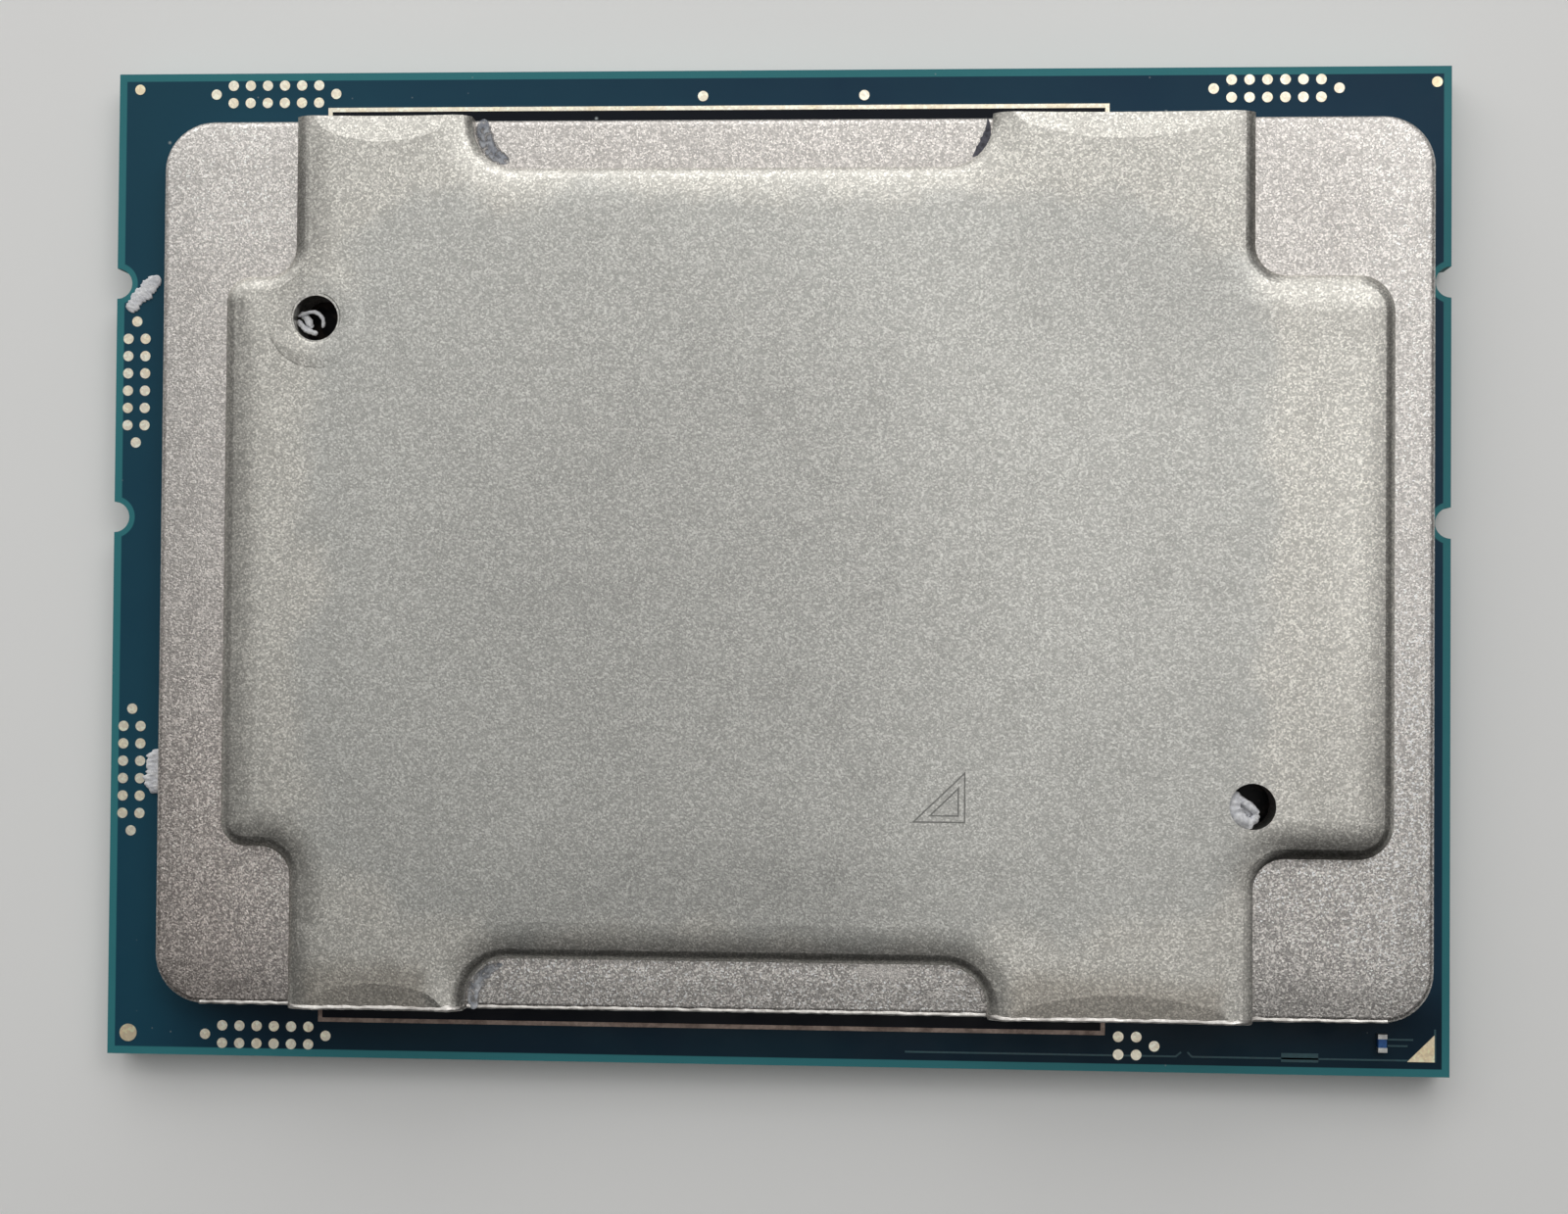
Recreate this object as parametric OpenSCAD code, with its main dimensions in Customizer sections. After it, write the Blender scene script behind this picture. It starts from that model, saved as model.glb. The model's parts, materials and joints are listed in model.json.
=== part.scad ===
// Computer processor: a land grid package with a stepped metal heat spreader on a laminate board.
// Millimetres. +X runs along the long side, +Y towards the far long edge, +Z up through the lid.
// The board is centred on the Z axis, and the capacitors under it stand on z = 0.

/* [Board] */
// Length of the board along X
board_l = 76; // [70:0.5:84]
// Width of the board along Y
board_w = 56.5; // [52:0.5:64]
// Thickness of the board
board_t = 1.95; // [1.2:0.05:3]
// Diameter of the half-round keying notches in the short edges
notch_d = 1.75; // [1:0.05:2]
// Distance of the far pair of notches from the board's middle
notch_far_y = 16.1; // [15.5:0.1:20]
// Distance of the near pair of notches from the board's middle
notch_near_y = 2.6; // [1.5:0.1:5]

/* [Heat spreader outline] */
// Bare board left of the heat spreader
lid_margin_left = 3.4; // [2.9:0.05:4]
// Bare board right of the heat spreader
lid_margin_right = 1.32; // [1:0.02:2]
// Bare board beside each long edge of the heat spreader
lid_margin_y = 3.27; // [2.9:0.01:3.6]
// Radius of the heat spreader's corners
lid_corner_r = 2.8; // [1.5:0.1:3.5]
// Thickness of the flange round the raised top
flange_t = 2.05; // [1.7:0.05:2.6]
// Radius of the flange's rounded upper edge
flange_edge_r = 0.35; // [0.1:0.05:0.4]
// Width of the rim that is bonded to the board
rim_w = 4.4; // [3.9:0.1:5]
// Radius of the hollow's corners under the heat spreader
hollow_r = 2; // [1:0.1:4]

/* [Heat spreader top] */
// Height of the raised top above the flange
step_h = 1.4; // [1:0.05:2]
// Width in plan of the rounded shoulder down to the flange
shoulder_w = 2.1; // [1.6:0.05:2.2]
// Width in plan of the tight round at the shoulder's foot
shoulder_edge_w = 0.65; // [0.4:0.05:0.9]
// Flange beyond the left ear of the raised top
flange_w_left = 4; // [3:0.1:4.1]
// Flange beyond the right ear of the raised top
flange_w_right = 2.4; // [1.8:0.1:3]
// Length of the two left corner pockets
pocket_l_left = 7.93; // [7.85:0.01:9]
// Length of the two right corner pockets
pocket_l_right = 10; // [8.5:0.1:11]
// Width of the corner pockets
pocket_w = 9; // [7.5:0.1:10]
// Radius in the inner corner of a pocket, at the flange
pocket_r = 1.7; // [1:0.1:1.8]
// Radius of the left ear's corners, at the flange
ear_r_left = 1.4; // [0.8:0.1:1.8]
// Radius of the right ear's corners, at the flange
ear_r_right = 2; // [0.8:0.1:2]
// Length of the ledges in the two long edges
ledge_l = 29.1; // [24:0.1:34]
// Distance of the ledges' middle to the left of the board's middle
ledge_off = 2.25; // [0:0.05:4]
// Depth of the ledges from the edge
ledge_d = 2.95; // [2.6:0.05:3.6]
// Radius in the inner corners of a ledge, at the flange
ledge_r = 2.5; // [1.5:0.1:2.6]
// Depth in plan of the crescents where the raised top sinks to the long edges
crescent_d = 1.5; // [0.8:0.05:1.6]
// Slope of the crescents in degrees
crescent_slope = 13; // [6:1:16]

/* [Vents] */
// Diameter of the two vent holes
vent_d = 2.53; // [1.5:0.01:3]
// Left vent's centre from the left ear's end
vent_left_in = 5.2; // [4:0.1:7]
// Left vent's centre from the left ear's far side
vent_left_side = 2.4; // [2:0.05:4]
// Right vent's centre from the right ear's end
vent_right_in = 7.7; // [5:0.1:9]
// Right vent's centre from the right ear's near side
vent_right_side = 2.87; // [2:0.01:4]

/* [Die stack] */
// Length of the silicon die along X
die_l = 31; // [22:0.5:34]
// Width of the silicon die along Y
die_w = 21.5; // [16:0.5:23]
// Thickness of the silicon die
die_t = 0.78; // [0.6:0.02:1]
// Thickness of the underfilled bump layer
underfill_t = 0.08; // [0.05:0.01:0.15]
// Width of the underfill's skirt round the die
skirt_w = 1; // [0.5:0.1:1.5]
// Height of the underfill's skirt up the die's sides
skirt_h = 0.6; // [0.3:0.05:0.7]
// Thickness of the solder between the die and the lid
solder_t = 0.3; // [0.2:0.02:0.5]
// Bare edge of the die round the solder
solder_in = 0.3; // [0.1:0.05:1]

/* [Sealant] */
// Thickness of the sealant under the rim
sealant_t = 0.15; // [0.08:0.01:0.25]
// Width of the sealant bead
sealant_w = 2.4; // [1.5:0.1:2.6]
// Distance of the bead from the heat spreader's edge
sealant_in = 0.8; // [0.6:0.05:1.2]
// Breathing gap in the bead on each short side
sealant_gap = 5; // [2:0.5:10]

/* [Capacitors] */
// Length of a chip capacitor
chip_l = 1; // [0.8:0.05:1.3]
// Width and height of a chip capacitor
chip_w = 0.5; // [0.4:0.05:0.6]
// Length of a capacitor's metal end
chip_end = 0.26; // [0.15:0.01:0.35]
// Thickness of the metal on a capacitor's end
chip_skin = 0.02; // [0.01:0.005:0.04]
// Spacing of the capacitors beside the die
die_cap_pitch = 2.2; // [1.6:0.1:2.6]
// Distance of those capacitors from the die
die_cap_out = 3.4; // [2.4:0.1:5]
// Number of capacitors along each long side of the die
die_cap_long = 12; // [4:1:13]
// Number of capacitors along each short side of the die
die_cap_short = 8; // [3:1:9]
// Spacing of the capacitors under the board
land_cap_pitch = 2.4; // [1.6:0.1:2.6]
// Number of capacitors under the board along X
land_cap_cols = 10; // [4:1:11]
// Number of capacitors under the board along Y
land_cap_rows = 6; // [3:1:7]
// Corner capacitor's centre from the right edge
corner_cap_x = 3.77; // [3:0.01:6]
// Corner capacitor's centre from the near edge
corner_cap_y = 1.9; // [1.2:0.05:2.2]

/* [Gold pads and tracks] */
// Thickness of the pads and tracks that stand on the board
gold_t = 0.03; // [0.01:0.005:0.06]
// Diameter of a test pad
pad_d = 0.59; // [0.4:0.01:0.8]
// Number of pad columns in a group, without the end pads
pad_columns = 6; // [2:1:6]
// Spacing of the test pads
pad_pitch = 1; // [0.85:0.01:1.1]
// Distance of a pad group's centre line from the board's edge
pad_in = 1.21; // [1.1:0.01:1.3]
// Middle of the left pad groups from the left edge
pads_left_in = 9.2; // [7:0.1:9.8]
// Middle of the far right pad group from the right edge
pads_right_in = 9.73; // [7:0.01:12]
// Middle of the left edge's upper group above the board's middle
pads_upper_y = 10.4; // [8.5:0.1:11]
// Middle of the left edge's lower group below the board's middle
pads_lower_y = 11.95; // [8:0.05:14]
// First column of the short pad group from the right edge
short_pads_x = 18.3; // [16:0.1:18.5]
// Distance of the short pad group's centre line from the near edge
short_pads_in = 1.45; // [1.2:0.01:1.6]
// Diameter of the large corner pad
corner_pad_d = 1; // [0.8:0.05:1.2]
// Distance of the small corner pads from the far edge
corner_pad_in_y = 0.9; // [0.8:0.05:1.4]
// Distance of the right corner pad from the right edge
corner_pad_in_x = 0.81; // [0.8:0.01:1.4]
// Distance of the left single pad from the board's middle
single_left = 4.1; // [2:0.1:8]
// Distance of the right single pad from the board's middle
single_right = 5.1; // [2:0.1:8]
// Distance of the single pads from the far edge
single_in = 1.46; // [1.1:0.01:1.6]
// Width of the gold tracks beside the lid
track_w = 0.24; // [0.15:0.01:0.3]
// Distance of the tracks from the board's long edges
track_in = 2.14; // [2:0.01:2.4]
// Left end of the tracks from the left edge
track_left_in = 12.26; // [11.5:0.01:18]
// Right end of the tracks from the right edge
track_right_in = 19.05; // [19:0.05:26]
// Legs of the pin one triangle
triangle_leg = 1.5; // [1:0.1:1.8]
// Distance of the triangle's corner from the board's edges
triangle_in = 0.83; // [0.6:0.01:1]

/* [Hidden] */
$fn = 48;

// Cutters reach this far past the faces that they open
over = 1;
// Slope of a shoulder in degrees where its broad round turns into the tight one, and at its foot
shoulder_turn = 13;
shoulder_lean = 52;
// Height of the tight arc above the broad one where they cross, so that they meet at a clear angle
arc_lap = 0.002;
// Reach of the tracks' end turns under the heat spreader's edge
track_under = 0.3;

// Heights of the stack, from the capacitors' feet up
board_z = chip_w;
board_top = board_z + board_t;
lid_z = board_top + sealant_t;
flange_z = lid_z + flange_t;
top_z = flange_z + step_h;
die_z = board_top + underfill_t;
solder_z = die_z + die_t;
roof_z = solder_z + solder_t;

// Heat spreader's edges and the raised top's foot lines
lid_l = board_l - lid_margin_left - lid_margin_right;
lid_w = board_w - 2 * lid_margin_y;
lid_x = (lid_margin_left - lid_margin_right) / 2;
lid_left = lid_x - lid_l / 2;
lid_right = lid_x + lid_l / 2;
lid_far = lid_w / 2;
broad_w = shoulder_w - shoulder_edge_w;
broad_r = broad_w / sin(shoulder_turn);
tight_r = shoulder_edge_w / (sin(shoulder_lean) - sin(shoulder_turn));
ear_left = lid_left + flange_w_left;
ear_right = lid_right - flange_w_right;
ear_side = lid_far - pocket_w;
tab_left = lid_left + pocket_l_left;
tab_right = lid_right - pocket_l_right;
ledge_left = -ledge_off - ledge_l / 2;
ledge_right = ledge_l / 2 - ledge_off;
ledge_side = lid_far - ledge_d;

// A profile carried straight from a to b: its tall side on the line, its slope to the right of travel
module run(a, b) {
    d = b - a;
    translate([a.x, a.y, 0])
        rotate([0, 0, atan2(d.y, d.x)])
            rotate([90, 0, 90])
                linear_extrude(norm(d))
                    mirror([1, 0, 0])
                        children();
}

// A profile carried round an outside corner, its tall side at radius r
module bend_out(c, r, from) {
    translate([c.x, c.y, 0])
        rotate([0, 0, from])
            rotate_extrude(angle = 90)
                translate([r, 0])
                    children();
}

// A profile carried round an inside corner, its slope ending at radius r
module bend_in(c, r, slope_w, from) {
    translate([c.x, c.y, 0])
        rotate([0, 0, from])
            rotate_extrude(angle = 90)
                translate([r + slope_w, 0])
                    mirror([1, 0, 0])
                        children();
}

// A block between two corners of its plan
module block(a, b, h) {
    translate([a.x, a.y, 0])
        cube([b.x - a.x, b.y - a.y, h]);
}

// A quarter of a disc
module quarter(c, r, h, from) {
    bend_out(c, 0, from)
        square([r, h]);
}

// A plate with four round corners, centred on its own middle
module round_plate(l, w, h, r) {
    x = l / 2;
    y = w / 2;
    block([r - x, -y], [x - r, y], h);
    block([-x, r - y], [r - x, y - r], h);
    block([x - r, r - y], [x, y - r], h);
    quarter([x - r, y - r], r, h, 0);
    quarter([r - x, y - r], r, h, 90);
    quarter([r - x, r - y], r, h, 180);
    quarter([x - r, r - y], r, h, 270);
}

// A quarter round of radius r, its tall side at 0
module round_section(r) {
    intersection() {
        circle(r);
        square(r);
    }
}

// Strip of the shoulder's section between two distances from the flat top: a broad arc that is level
// with the flat top, crossed near the foot by a tight arc
module shoulder_strip(from, to) {
    apart = broad_r - tight_r + arc_lap;
    x = apart * sin(shoulder_turn);
    y = step_h - broad_r + apart * cos(shoulder_turn);
    difference() {
        intersection() {
            translate([0, step_h - broad_r])
                circle(broad_r);
            translate([from, 0])
                square([to - from, step_h]);
        }
        difference() {
            translate([broad_w, y])
                square([shoulder_edge_w + over, step_h - y + over]);
            translate([x, y])
                circle(tight_r);
        }
    }
}

// Upper part of the shoulder's section
module broad_section() {
    shoulder_strip(0, broad_w);
}

// Lower part of the shoulder's section, down to its upright foot
module edge_section() {
    shoulder_strip(broad_w, shoulder_w);
}

// Section of the whole shoulder
module shoulder_section() {
    shoulder_strip(0, shoulder_w);
}

// Flange: a plate with round corners and a rounded upper edge
module flange() {
    e = flange_edge_r;
    r = lid_corner_r;
    x = lid_l / 2 - r;
    y = lid_w / 2 - r;
    round_plate(lid_l, lid_w, flange_t - e, r);
    translate([0, 0, flange_t - e]) {
        round_plate(lid_l - 2 * e, lid_w - 2 * e, e, r - e);
        for (turn = [0, 180])
            rotate([0, 0, turn]) {
                run([lid_l / 2 - e, -y], [lid_l / 2 - e, y])
                    round_section(e);
                bend_out([x, y], r - e, 0)
                    round_section(e);
                run([x, lid_w / 2 - e], [-x, lid_w / 2 - e])
                    round_section(e);
                bend_out([-x, y], r - e, 90)
                    round_section(e);
            }
    }
}

// Flat part of the raised top over the far half, inside the shoulders
module flat_top() {
    bay_y = ear_side + pocket_r;
    difference() {
        block([tab_left - pocket_r, 0], [tab_right + pocket_r, bay_y], step_h);
        for (x = [tab_left - pocket_r, tab_right + pocket_r])
            translate([x, bay_y, -over])
                cylinder(r = pocket_r + shoulder_w, h = step_h + 2 * over);
    }
    dipped()
        difference() {
            block([tab_left + shoulder_w, bay_y], [tab_right - shoulder_w, lid_far], step_h);
            translate([0, 0, -over])
                ledge_bay(step_h + 2 * over);
        }
    y = ear_side - shoulder_w;
    block([ear_left + shoulder_w, 0], [tab_left - pocket_r, y], step_h);
    block([tab_right + pocket_r, 0], [ear_right - shoulder_w, y], step_h);
}

// Room of a ledge at the height of the flat top
module ledge_bay(h) {
    r = ledge_r + shoulder_w;
    a = ledge_left + ledge_r;
    b = ledge_right - ledge_r;
    y = ledge_side + ledge_r;
    block([a, ledge_side - shoulder_w], [b, y], h);
    block([ledge_left - shoulder_w, y], [ledge_right + shoulder_w, lid_far + over], h);
    quarter([a, y], r, h, 180);
    quarter([b, y], r, h, 270);
}

// Corner of an ear at p: two shoulders that meet, rounded at the foot with radius r
module ear_corner(p, r) {
    q = p - [shoulder_w, shoulder_w];
    c = p - [r, r];
    difference() {
        intersection() {
            run(q, [q.x, p.y])
                shoulder_section();
            run([p.x, q.y], q)
                shoulder_section();
        }
        translate([0, 0, -over])
            block(c, p + [over, over], step_h + 2 * over);
    }
    bend_out(c, 0, 0)
        intersection() {
            translate([r - shoulder_w, 0])
                shoulder_section();
            square([r, step_h]);
        }
}

// Shoulders of an ear's far half, as far as the tab beside it, for an ear at the right
module ear_shoulder(end, tab, r) {
    x = end - shoulder_w;
    y = ear_side - shoulder_w;
    c = [tab + pocket_r, ear_side + pocket_r];
    run([x, 0], [x, y])
        shoulder_section();
    ear_corner([end, ear_side], min(r, 0.95 * shoulder_w));
    run([x, y], [c.x, y])
        shoulder_section();
    bend_in(c, pocket_r, shoulder_w, 180)
        shoulder_section();
}

// Shoulders of the two far tabs
module tab_shoulders() {
    left = tab_left + shoulder_w;
    right = tab_right - shoulder_w;
    near = ear_side + pocket_r;
    dipped_run([left, lid_far], [left, near]);
    dipped_run([right, near], [right, lid_far]);
}

// Roots of the far tabs, which fill the flange's rounded edge under them
module tab_roots() {
    e = flange_edge_r;
    translate([0, 0, -e]) {
        block([tab_left, lid_far - e], [ledge_left, lid_far], e);
        block([ledge_right, lid_far - e], [tab_right, lid_far], e);
    }
}

// Shoulders round the far ledge
module ledge_shoulder() {
    a = ledge_left + ledge_r;
    b = ledge_right - ledge_r;
    y = ledge_side + ledge_r;
    dipped_run([ledge_right + shoulder_w, lid_far], [ledge_right + shoulder_w, y]);
    dipped_bend([b, y], 270);
    run([b, ledge_side - shoulder_w], [a, ledge_side - shoulder_w])
        shoulder_section();
    dipped_bend([a, y], 180);
    dipped_run([ledge_left - shoulder_w, y], [ledge_left - shoulder_w, lid_far]);
}

// A straight shoulder that the crescents cut, each part of its section by itself
module dipped_run(a, b) {
    dipped()
        run(a, b)
            broad_section();
    dipped()
        run(a, b)
            edge_section();
}

// A shoulder round a ledge's inner corner that the crescents cut
module dipped_bend(c, from) {
    dipped()
        bend_in(c, ledge_r, shoulder_w, from)
            broad_section();
    dipped()
        bend_in(c, ledge_r, shoulder_w, from)
            edge_section();
}

// Far half of the raised top
module raised_half() {
    flat_top();
    ear_shoulder(ear_right, tab_right, ear_r_right);
    mirror([1, 0, 0])
        ear_shoulder(-ear_left, -tab_left, ear_r_left);
    tab_shoulders();
    tab_roots();
    ledge_shoulder();
}

// Cutter for a crescent along the far edge from a to b: a ball that dips below the flat top
module crescent(a, b) {
    half = (b - a) / 2;
    plan_r = (half ^ 2 + crescent_d ^ 2) / (2 * crescent_d);
    ball_r = plan_r / sin(crescent_slope);
    translate([a + half, lid_far - crescent_d + plan_r, step_h + ball_r * cos(crescent_slope)])
        sphere(ball_r, $fn = 180);
}

// A piece of the raised top, sunk along the far edge by the tabs' crescents
module dipped() {
    difference() {
        children();
        crescent(tab_left, ledge_left);
        crescent(ledge_right, tab_right);
    }
}

// Laminate board with its keying notches
module substrate() {
    color([0.1, 0.25, 0.31])
        translate([0, 0, board_z])
            difference() {
                block([-board_l / 2, -board_w / 2], [board_l / 2, board_w / 2], board_t);
                for (x = [-board_l / 2, board_l / 2], y = [notch_far_y, notch_near_y])
                    translate([x, y, -over])
                        cylinder(d = notch_d, h = board_t + 2 * over);
            }
}

// Coined metal lid: flange, raised top with ears, ledges, vents and the hollow under it
module heat_spreader() {
    color([0.72, 0.71, 0.68])
        difference() {
            union() {
                translate([lid_x, 0, lid_z])
                    flange();
                for (far = [0, 1])
                    mirror([0, far, 0])
                        translate([0, 0, flange_z])
                            raised_half();
            }
            translate([lid_x, 0, lid_z - over])
                round_plate(lid_l - 2 * rim_w, lid_w - 2 * rim_w, roof_z - lid_z + over, hollow_r);
            translate([ear_left + vent_left_in, ear_side - vent_left_side, lid_z])
                cylinder(d = vent_d, h = top_z - lid_z + over);
            translate([ear_right - vent_right_in, vent_right_side - ear_side, lid_z])
                cylinder(d = vent_d, h = top_z - lid_z + over);
        }
}

// Bead that bonds the rim to the board, open on each short side
module lid_sealant() {
    l = lid_l - 2 * sealant_in;
    w = lid_w - 2 * sealant_in;
    color([0.16, 0.16, 0.17])
        translate([lid_x, 0, board_top])
            difference() {
                round_plate(l, w, sealant_t, lid_corner_r - sealant_in);
                translate([0, 0, -over])
                    round_plate(l - 2 * sealant_w, w - 2 * sealant_w, sealant_t + 2 * over, hollow_r);
                translate([-lid_l / 2, -sealant_gap / 2, -over])
                    cube([lid_l, sealant_gap, sealant_t + 2 * over]);
            }
}

// Silicon die, face down on its bumps
module silicon_die() {
    color([0.35, 0.37, 0.42])
        translate([0, 0, die_z])
            block([-die_l / 2, -die_w / 2], [die_l / 2, die_w / 2], die_t);
}

// Soft solder from the die's back to the roof of the lid
module thermal_solder() {
    x = die_l / 2 - solder_in;
    y = die_w / 2 - solder_in;
    color([0.8, 0.8, 0.82])
        translate([0, 0, solder_z])
            block([-x, -y], [x, y], solder_t);
}

// Section of the underfill's skirt beside the die
module skirt_section() {
    polygon([[0, 0], [skirt_w, 0], [0, underfill_t + min(skirt_h, die_t)]]);
}

// Resin under the die, with a sloping skirt round it
module die_underfill() {
    x = die_l / 2;
    y = die_w / 2;
    color([0.2, 0.19, 0.17])
        translate([0, 0, board_top]) {
            block([-x, -y], [x, y], underfill_t);
            for (turn = [0, 180])
                rotate([0, 0, turn]) {
                    run([x, -y], [x, y])
                        skirt_section();
                    bend_out([x, y], 0, 0)
                        skirt_section();
                    run([x, y], [-x, y])
                        skirt_section();
                    bend_out([-x, y], 0, 90)
                        skirt_section();
                }
        }
}

// Ceramic of a chip capacitor, long side along X, standing on z = 0
module chip_ceramic() {
    l = chip_l - 2 * chip_skin;
    w = chip_w - 2 * chip_skin;
    translate([-l / 2, -w / 2, chip_skin])
        cube([l, w, w]);
}

// Metal caps over both ends of a chip capacitor
module chip_ends() {
    for (turn = [0, 180])
        rotate([0, 0, turn])
            difference() {
                translate([chip_l / 2 - chip_end, -chip_w / 2, 0])
                    cube([chip_end, chip_w, chip_w]);
                chip_ceramic();
            }
}

// Places of n things at a pitch, centred on 0
function spread(n, pitch) = [for (i = [0 : n - 1]) (i - (n - 1) / 2) * pitch];

// Places of the capacitors round the die
module round_die() {
    x_out = die_l / 2 + die_cap_out;
    y_out = die_w / 2 + die_cap_out;
    for (x = spread(die_cap_long, die_cap_pitch), y = [-y_out, y_out])
        translate([x, y, board_top])
            rotate([0, 0, 90])
                children();
    for (x = [-x_out, x_out], y = spread(die_cap_short, die_cap_pitch))
        translate([x, y, board_top])
            children();
}

// Places of the capacitors under the board
module under_board() {
    for (x = spread(land_cap_cols, land_cap_pitch), y = spread(land_cap_rows, land_cap_pitch))
        translate([x, y, 0])
            rotate([0, 0, 90])
                children();
}

// Place of the capacitor in the near right corner
module at_corner() {
    translate([board_l / 2 - corner_cap_x, corner_cap_y - board_w / 2, board_top])
        rotate([0, 0, 90])
            children();
}

// Capacitors round the die
module die_side_capacitors() {
    color([0.45, 0.36, 0.27])
        round_die()
            chip_ceramic();
}

// Metal ends of the capacitors round the die
module die_side_cap_ends() {
    color([0.78, 0.78, 0.76])
        round_die()
            chip_ends();
}

// Capacitors under the board
module land_side_capacitors() {
    color([0.45, 0.36, 0.27])
        under_board()
            chip_ceramic();
}

// Metal ends of the capacitors under the board, on which the package stands
module land_side_cap_ends() {
    color([0.78, 0.78, 0.76])
        under_board()
            chip_ends();
}

// Capacitor in the near right corner
module corner_capacitor() {
    color([0.3, 0.42, 0.52])
        at_corner()
            chip_ceramic();
}

// Metal ends of the corner capacitor
module corner_cap_ends() {
    color([0.8, 0.8, 0.78])
        at_corner()
            chip_ends();
}

// One round gold pad on the board
module pad(x, y, d = pad_d) {
    color([0.86, 0.8, 0.68])
        translate([x, y, board_top])
            cylinder(d = d, h = gold_t);
}

// A group of test pads along X or turned along Y: two rows, with one pad between them at each end
module pad_group(x, y, turn = 0) {
    end = (pad_columns + 1) / 2 * pad_pitch;
    translate([x, y, 0])
        rotate([0, 0, turn]) {
            for (along = spread(pad_columns, pad_pitch), row = spread(2, pad_pitch))
                pad(along, row);
            for (along = [-end, end])
                pad(along, 0);
        }
}

// Test pads beside the far edge, at the left
module pads_far_left() {
    pad_group(pads_left_in - board_l / 2, board_w / 2 - pad_in);
}

// Test pads beside the far edge, at the right
module pads_far_right() {
    pad_group(board_l / 2 - pads_right_in, board_w / 2 - pad_in);
}

// Test pads beside the left edge, far group
module pads_left_upper() {
    pad_group(pad_in - board_l / 2, pads_upper_y, 90);
}

// Test pads beside the left edge, near group
module pads_left_lower() {
    pad_group(pad_in - board_l / 2, -pads_lower_y, 90);
}

// Test pads beside the near edge, at the left
module pads_near_left() {
    pad_group(pads_left_in - board_l / 2, pad_in - board_w / 2);
}

// Short test pad group beside the near edge: two columns and an end pad
module pads_near_right() {
    x = board_l / 2 - short_pads_x;
    y = short_pads_in - board_w / 2;
    for (along = [0, pad_pitch], row = spread(2, pad_pitch))
        pad(x + along, y + row);
    pad(x + 2 * pad_pitch, y);
}

// Pads in three of the board's corners
module corner_pads() {
    pad(pad_in - board_l / 2, board_w / 2 - corner_pad_in_y);
    pad(board_l / 2 - corner_pad_in_x, board_w / 2 - corner_pad_in_y);
    pad(pad_in - board_l / 2, pad_in - board_w / 2, corner_pad_d);
}

// Two single pads beside the far edge
module single_pads() {
    for (x = [-single_left, single_right])
        pad(x, board_w / 2 - single_in);
}

// Gold track beside the far edge, its ends turned in under the lid
module far_track() {
    a = track_left_in - board_l / 2;
    b = board_l / 2 - track_right_in;
    y = board_w / 2 - track_in;
    color([0.83, 0.72, 0.55])
        translate([0, 0, board_top]) {
            block([a, y - track_w / 2], [b, y + track_w / 2], gold_t);
            for (x = [a, b - track_w])
                block([x, lid_far - track_under], [x + track_w, y - track_w / 2], gold_t);
        }
}

// Gold track beside the far edge
module track_far() {
    far_track();
}

// Gold track beside the near edge
module track_near() {
    mirror([0, 1, 0])
        far_track();
}

// Gold triangle that marks pin one
module pin_one_triangle() {
    color([0.86, 0.8, 0.68])
        translate([board_l / 2 - triangle_in, triangle_in - board_w / 2, board_top])
            linear_extrude(gold_t)
                polygon([[0, 0], [0, triangle_leg], [-triangle_leg, 0]]);
}

substrate();
heat_spreader();
lid_sealant();
silicon_die();
thermal_solder();
die_underfill();
die_side_capacitors();
die_side_cap_ends();
land_side_capacitors();
land_side_cap_ends();
corner_capacitor();
corner_cap_ends();
pads_far_left();
pads_far_right();
pads_left_upper();
pads_left_lower();
pads_near_left();
pads_near_right();
corner_pads();
single_pads();
track_far();
track_near();
pin_one_triangle();
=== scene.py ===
import json
import math

import bpy
import numpy as np
from mathutils import Matrix, Vector
from mathutils.bvhtree import BVHTree


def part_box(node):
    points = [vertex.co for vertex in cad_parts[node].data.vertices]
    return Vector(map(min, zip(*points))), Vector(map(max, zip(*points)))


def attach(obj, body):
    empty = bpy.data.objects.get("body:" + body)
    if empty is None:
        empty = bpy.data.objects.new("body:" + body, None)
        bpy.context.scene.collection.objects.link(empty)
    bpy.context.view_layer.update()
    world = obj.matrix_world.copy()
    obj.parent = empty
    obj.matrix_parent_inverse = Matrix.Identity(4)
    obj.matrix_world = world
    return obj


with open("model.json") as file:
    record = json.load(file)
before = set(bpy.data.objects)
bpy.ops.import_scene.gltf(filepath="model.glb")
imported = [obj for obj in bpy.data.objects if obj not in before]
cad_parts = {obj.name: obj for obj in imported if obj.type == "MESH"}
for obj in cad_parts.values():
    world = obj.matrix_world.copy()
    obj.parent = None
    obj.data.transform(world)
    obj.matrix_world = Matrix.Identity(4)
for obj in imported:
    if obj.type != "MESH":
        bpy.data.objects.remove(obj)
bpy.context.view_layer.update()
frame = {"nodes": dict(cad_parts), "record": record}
nodes = frame["nodes"]
mm = 0.001
boardLow, boardHigh = (np.array(corner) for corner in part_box("substrate"))
lidLow, lidHigh = (np.array(corner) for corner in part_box("heat_spreader"))
print("frame loaded:", len(nodes), "nodes")

# what the lid's own surfaces measure, in millimetres
lid = {
    "flangeRise": 2.05,         # flange's face above the rim
    "cornerRadius": 2.8,
    "ledge": (-16.8, 12.3),     # ends of the two ledges
    "ledgeDepth": 2.95,
    "ledgeRadius": 2.5,
    "leftVent": (-25.4, 13.58),
    "rightVent": (26.58, -13.11),
}
flangeTop = lidLow[2] / mm + lid["flangeRise"]
boardTop = boardHigh[2] / mm
lidTop = lidHigh[2] / mm


# camera: the photograph's place and lens, aimed at a point on the lid's top and turned a little
camera = {
    "place": (7.97, -4.68, 130.15),
    "aim": (0.957, -2.407, 6.05),
    "roll": 0.45,               # degrees
    "lens": 51.79,
    "sensor": 36.0,
    "clip": (0.005, 20.0),      # nearest and farthest seen, in metres
}


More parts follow.
